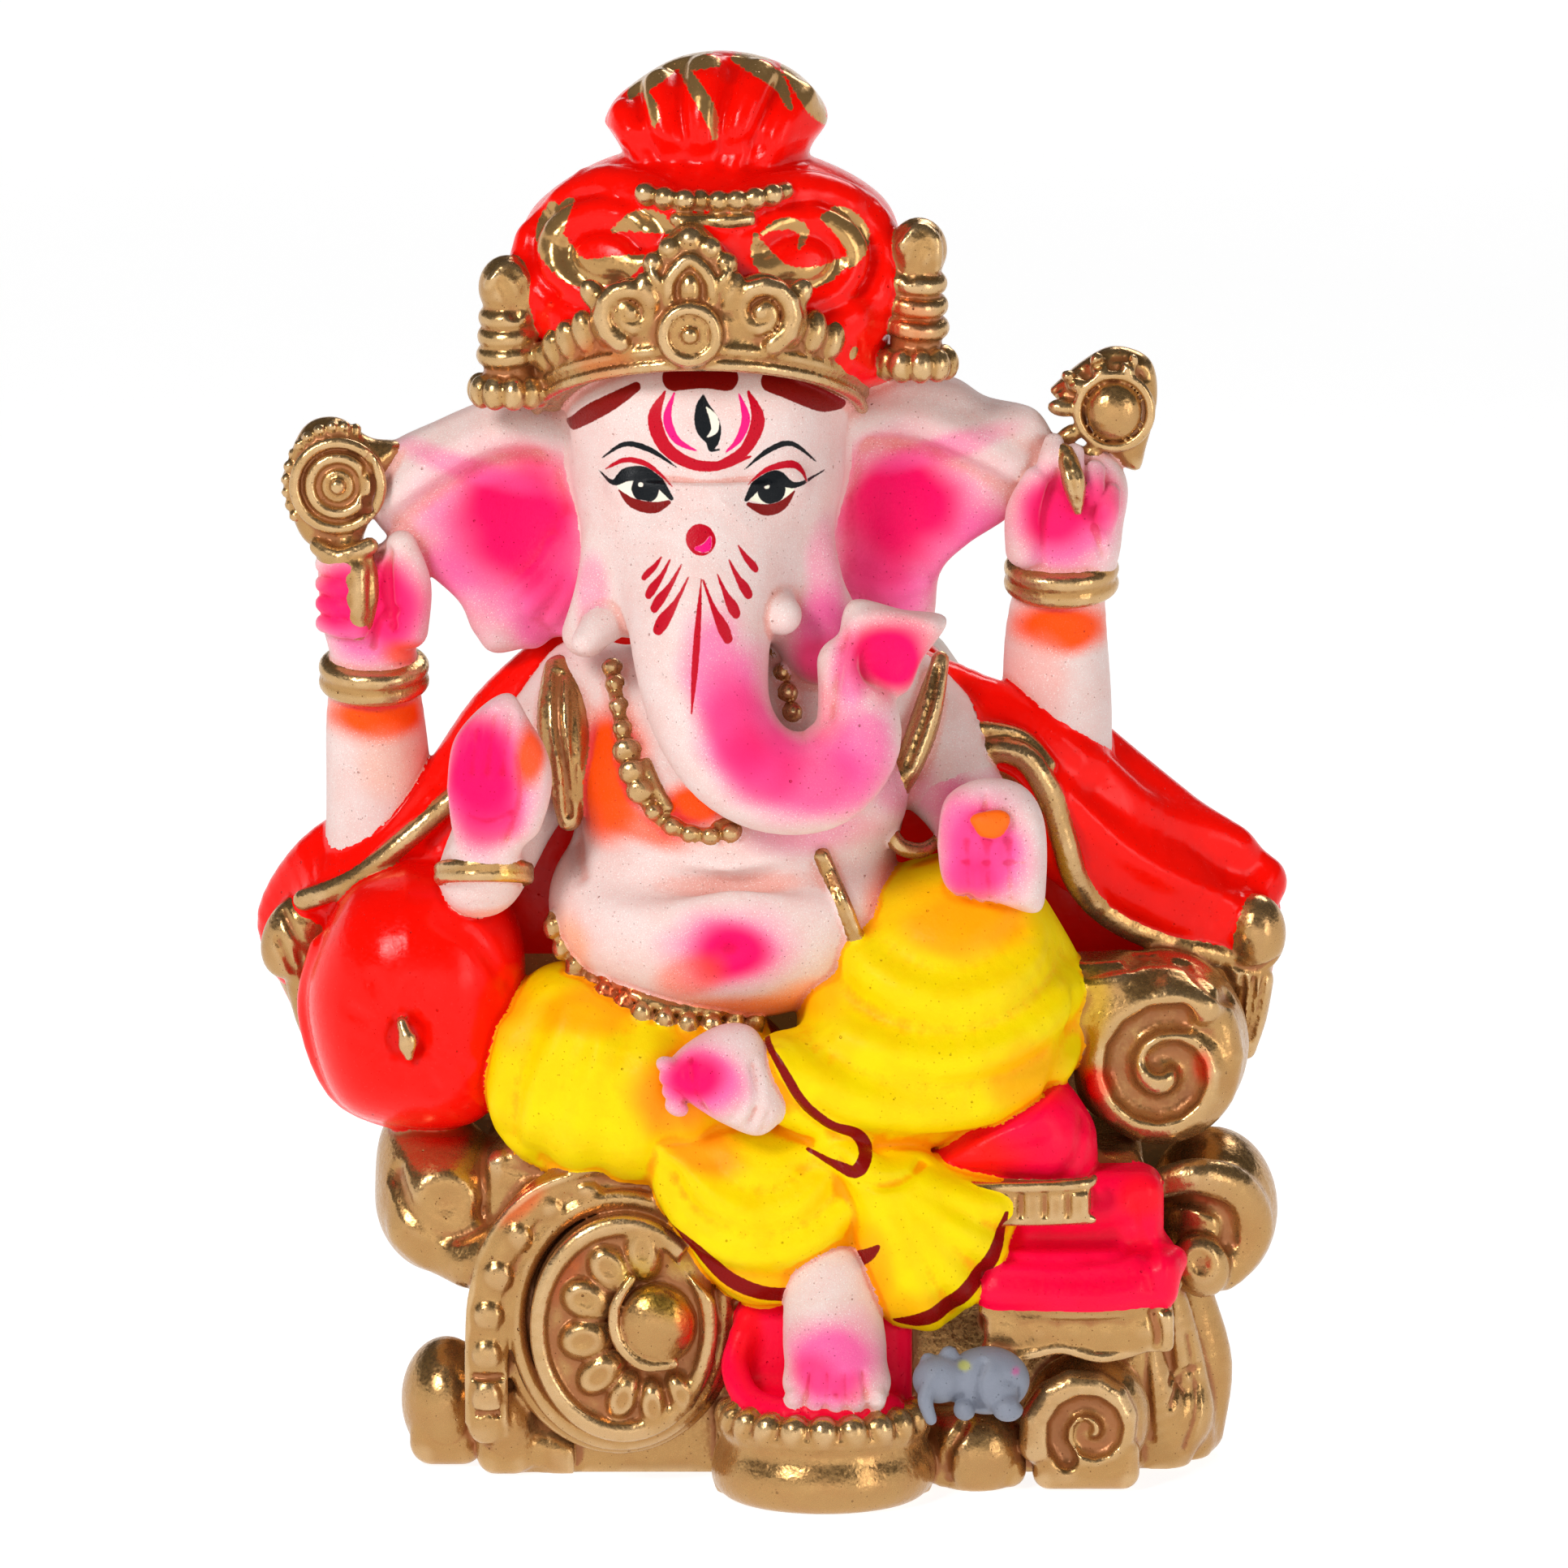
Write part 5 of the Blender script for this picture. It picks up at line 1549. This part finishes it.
BRUSHES = {FLESH: (WHITE, CRIMSON, CERISE, MAROON, BLACK), YELLOW: (MAROON,)}
MATERIAL = {
    GOLD: coat("gold_paint", colour(150, 74, 30), 0.66, metal=0.86, rough=0.27, grain=0.006, pores=0.32,
               worn=colour(236, 206, 160), gloss=0.5, waves=0.16),
    FLESH: coat("flesh_paint", colour(222, 136, 116), 0.6, rough=0.5, grain=0.07, pores=0.6, speckle=0.6,
                inks=BRUSHES[FLESH], gloss=0.14, deep=colour(206, 0, 62)),
    RED: coat("red_paint", colour(190, 4, 0), 0.4, rough=0.2, grain=0.012, pores=0.25, glow=0.04, gilt=True,
              gloss=0.16, waves=0.06),
    YELLOW: coat("yellow_paint", colour(244, 140, 0), 0.75, rough=0.46, grain=0.03, pores=0.35, glow=0.03,
                 inks=BRUSHES[YELLOW], gloss=0.1),
    PINK: coat("pink_paint", colour(214, 2, 24), 0.5, rough=0.34, grain=0.02, pores=0.3, glow=0.04,
               gloss=0.12),
    "orange": coat("orange_paint", colour(240, 70, 0), 0.5, rough=0.5, grain=0.08, pores=0.3, glow=0.08,
                   gloss=0.2),
    "grey": coat("grey_paint", colour(78, 82, 96), 0.6, rough=0.45, grain=0.08, pores=0.4, gloss=0.3),
}

# ---- pieces ----


def mesh_piece(c):
    """Makes one piece of the casting, with its paint, and puts it in place of its CAD node."""
    points, quads = surface(c)
    lo, hi = np.maximum(c.lo - 4, 0), np.minimum(c.hi + 4, COUNT)
    around = cast[window_of(lo, hi)]
    gradient = [np.gradient(around, STEP, axis=axis) for axis in range(3)]
    normals = np.stack([sample(g, lo, points) for g in gradient], axis=1)
    normals /= np.maximum(np.linalg.norm(normals, axis=1, keepdims=True), 1e-6)
    # a closed mesh whose faces look inwards has a negative volume
    p0, p1, p2, p3 = (points[quads[:, j]] for j in range(4))
    volume = np.sum(p0 * np.cross(p1, p2)) + np.sum(p0 * np.cross(p2, p3))
    if volume < 0:
        quads = quads[:, ::-1]
    near, wide = max(int(round(1.0 / STEP)), 1), max(int(round(2.5 / STEP)), 2)
    clipped = np.clip(around, -4, 4)
    cavity = sample(average(clipped, near), lo, points) - sample(clipped, lo, points)
    broad = sample(average(clipped, wide), lo, points) - sample(clipped, lo, points)
    # both differences are above 0 on an edge, where most of what is near is outside; hollow is the reverse
    hollow = np.clip(-cavity * 2.2 - broad * 0.55, -1, 1)
    tone, inks, gilt, bare = paint_piece(c, points, normals)

    mesh = bpy.data.meshes.new(c.name)
    mesh.vertices.add(len(points))
    mesh.vertices.foreach_set("co", (points / MM).astype(np.float32).ravel())
    mesh.loops.add(quads.size)
    mesh.loops.foreach_set("vertex_index", quads.astype(np.int32).ravel())
    mesh.polygons.add(len(quads))
    mesh.polygons.foreach_set("loop_start", np.arange(0, quads.size, 4, dtype=np.int32))
    mesh.update(calc_edges=True)
    mesh.validate()
    mesh.shade_smooth()
    layer = mesh.attributes.new("paint", "FLOAT_COLOR", "POINT")
    layer.data.foreach_set("color", np.c_[tone, np.ones(len(tone))].astype(np.float32).ravel())
    floats = {"bare": bare, "cavity": hollow}
    if c.paint == RED:
        floats["gilt"] = gilt
    for ink in sorted(BRUSHES.get(c.paint, ())):
        floats["ink_" + ink] = inks.get(ink, np.full(len(points), CLEAR))
    for name, values in floats.items():
        layer = mesh.attributes.new(name, "FLOAT", "POINT")
        layer.data.foreach_set("value", values.astype(np.float32))
    piece = bpy.data.objects.new(c.name, mesh)
    bpy.context.scene.collection.objects.link(piece)
    mesh.materials.append(MATERIAL[c.paint])
    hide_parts(*c.nodes)
    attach(piece, "root")


for c in Clay.every:
    mesh_piece(c)

# ---- floor, light and camera ----


def sweep():
    """A wide pale floor that turns up at its rim, so that every view ends on white."""
    w = Wires("sweep_white")
    tone = w.ramp(w.noise(0.02, 2.0), 0.3, 0.7, 0.0, 0.03)
    w.put(w.shader.inputs["Base Color"], w.mix(tone, colour(160, 160, 160), colour(150, 150, 150)))
    w.put(w.shader.inputs["Emission Color"], w.mix(tone, colour(250, 250, 250), colour(244, 244, 244)))
    w.shader.inputs["Roughness"].default_value = 0.8
    w.shader.inputs["Emission Strength"].default_value = 0.92
    reach, bend, top, turns = 2.6, 0.4, 0.9, 64
    profile = [(0.3, 0.0), (1.2, 0.0), (reach, 0.0)]
    profile += [(reach + bend * math.sin(t), bend * (1 - math.cos(t))) for t in np.linspace(0.2,
                                                                                            math.pi / 2, 8)]
    profile += [(reach + bend, top)]
    points = [(0, 0, 0)]
    for i in range(turns):
        ca, sa = math.cos(2 * math.pi * i / turns), math.sin(2 * math.pi * i / turns)
        points += [(r * ca, r * sa, z) for r, z in profile]
    n = len(profile)
    faces = []
    for i in range(turns):
        here, there = 1 + i * n, 1 + (i + 1) % turns * n
        faces.append((0, here, there))
        faces += [(here + j, here + j + 1, there + j + 1, there + j) for j in range(n - 1)]
    mesh = bpy.data.meshes.new("sweep")
    mesh.from_pydata(points, [], faces)
    mesh.shade_smooth()
    mesh.materials.append(w.material)
    piece = bpy.data.objects.new("sweep", mesh)
    bpy.context.scene.collection.objects.link(piece)


def soft_light(name, place, size, watts):
    light = bpy.data.lights.new(name, "AREA")
    light.shape = "RECTANGLE"
    light.size, light.size_y = size
    light.energy = watts
    lamp = bpy.data.objects.new(name, light)
    lamp.location = place
    lamp.rotation_euler = (MIDDLE - Vector(place)).to_track_quat("-Z", "Y").to_euler()
    bpy.context.scene.collection.objects.link(lamp)


MIDDLE = Vector((0.0016, 0.0, 0.1208))  # what the lights and the camera aim at, in metres
sweep()
soft_light("key", (-0.55, -0.75, 0.75), (0.3, 0.3), 6.8)
soft_light("fill", (0.75, -0.7, 0.35), (0.3, 0.6), 1.8)
soft_light("front", (0.0, -1.1, 0.3), (0.8, 0.6), 0.6)
soft_light("rim", (0.3, 0.7, 0.8), (0.5, 0.3), 3)

world = bpy.data.worlds.new("studio")
world.use_nodes = True
world.node_tree.nodes["Background"].inputs["Color"].default_value = (1.0, 1.0, 1.0, 1.0)
world.node_tree.nodes["Background"].inputs["Strength"].default_value = 0.04
scene = bpy.context.scene
scene.world = world
scene.view_settings.view_transform = "Standard"

REACH, LIFT = 2.301, math.radians(10.0)
lens = bpy.data.cameras.new("camera")
lens.lens, lens.sensor_width = 300.0, 36.0
camera = bpy.data.objects.new("camera", lens)
camera.location = MIDDLE + REACH * Vector((0.0, -math.cos(LIFT), math.sin(LIFT)))
camera.rotation_euler = (MIDDLE - camera.location).to_track_quat("-Z", "Y").to_euler()
scene.collection.objects.link(camera)
scene.camera = camera
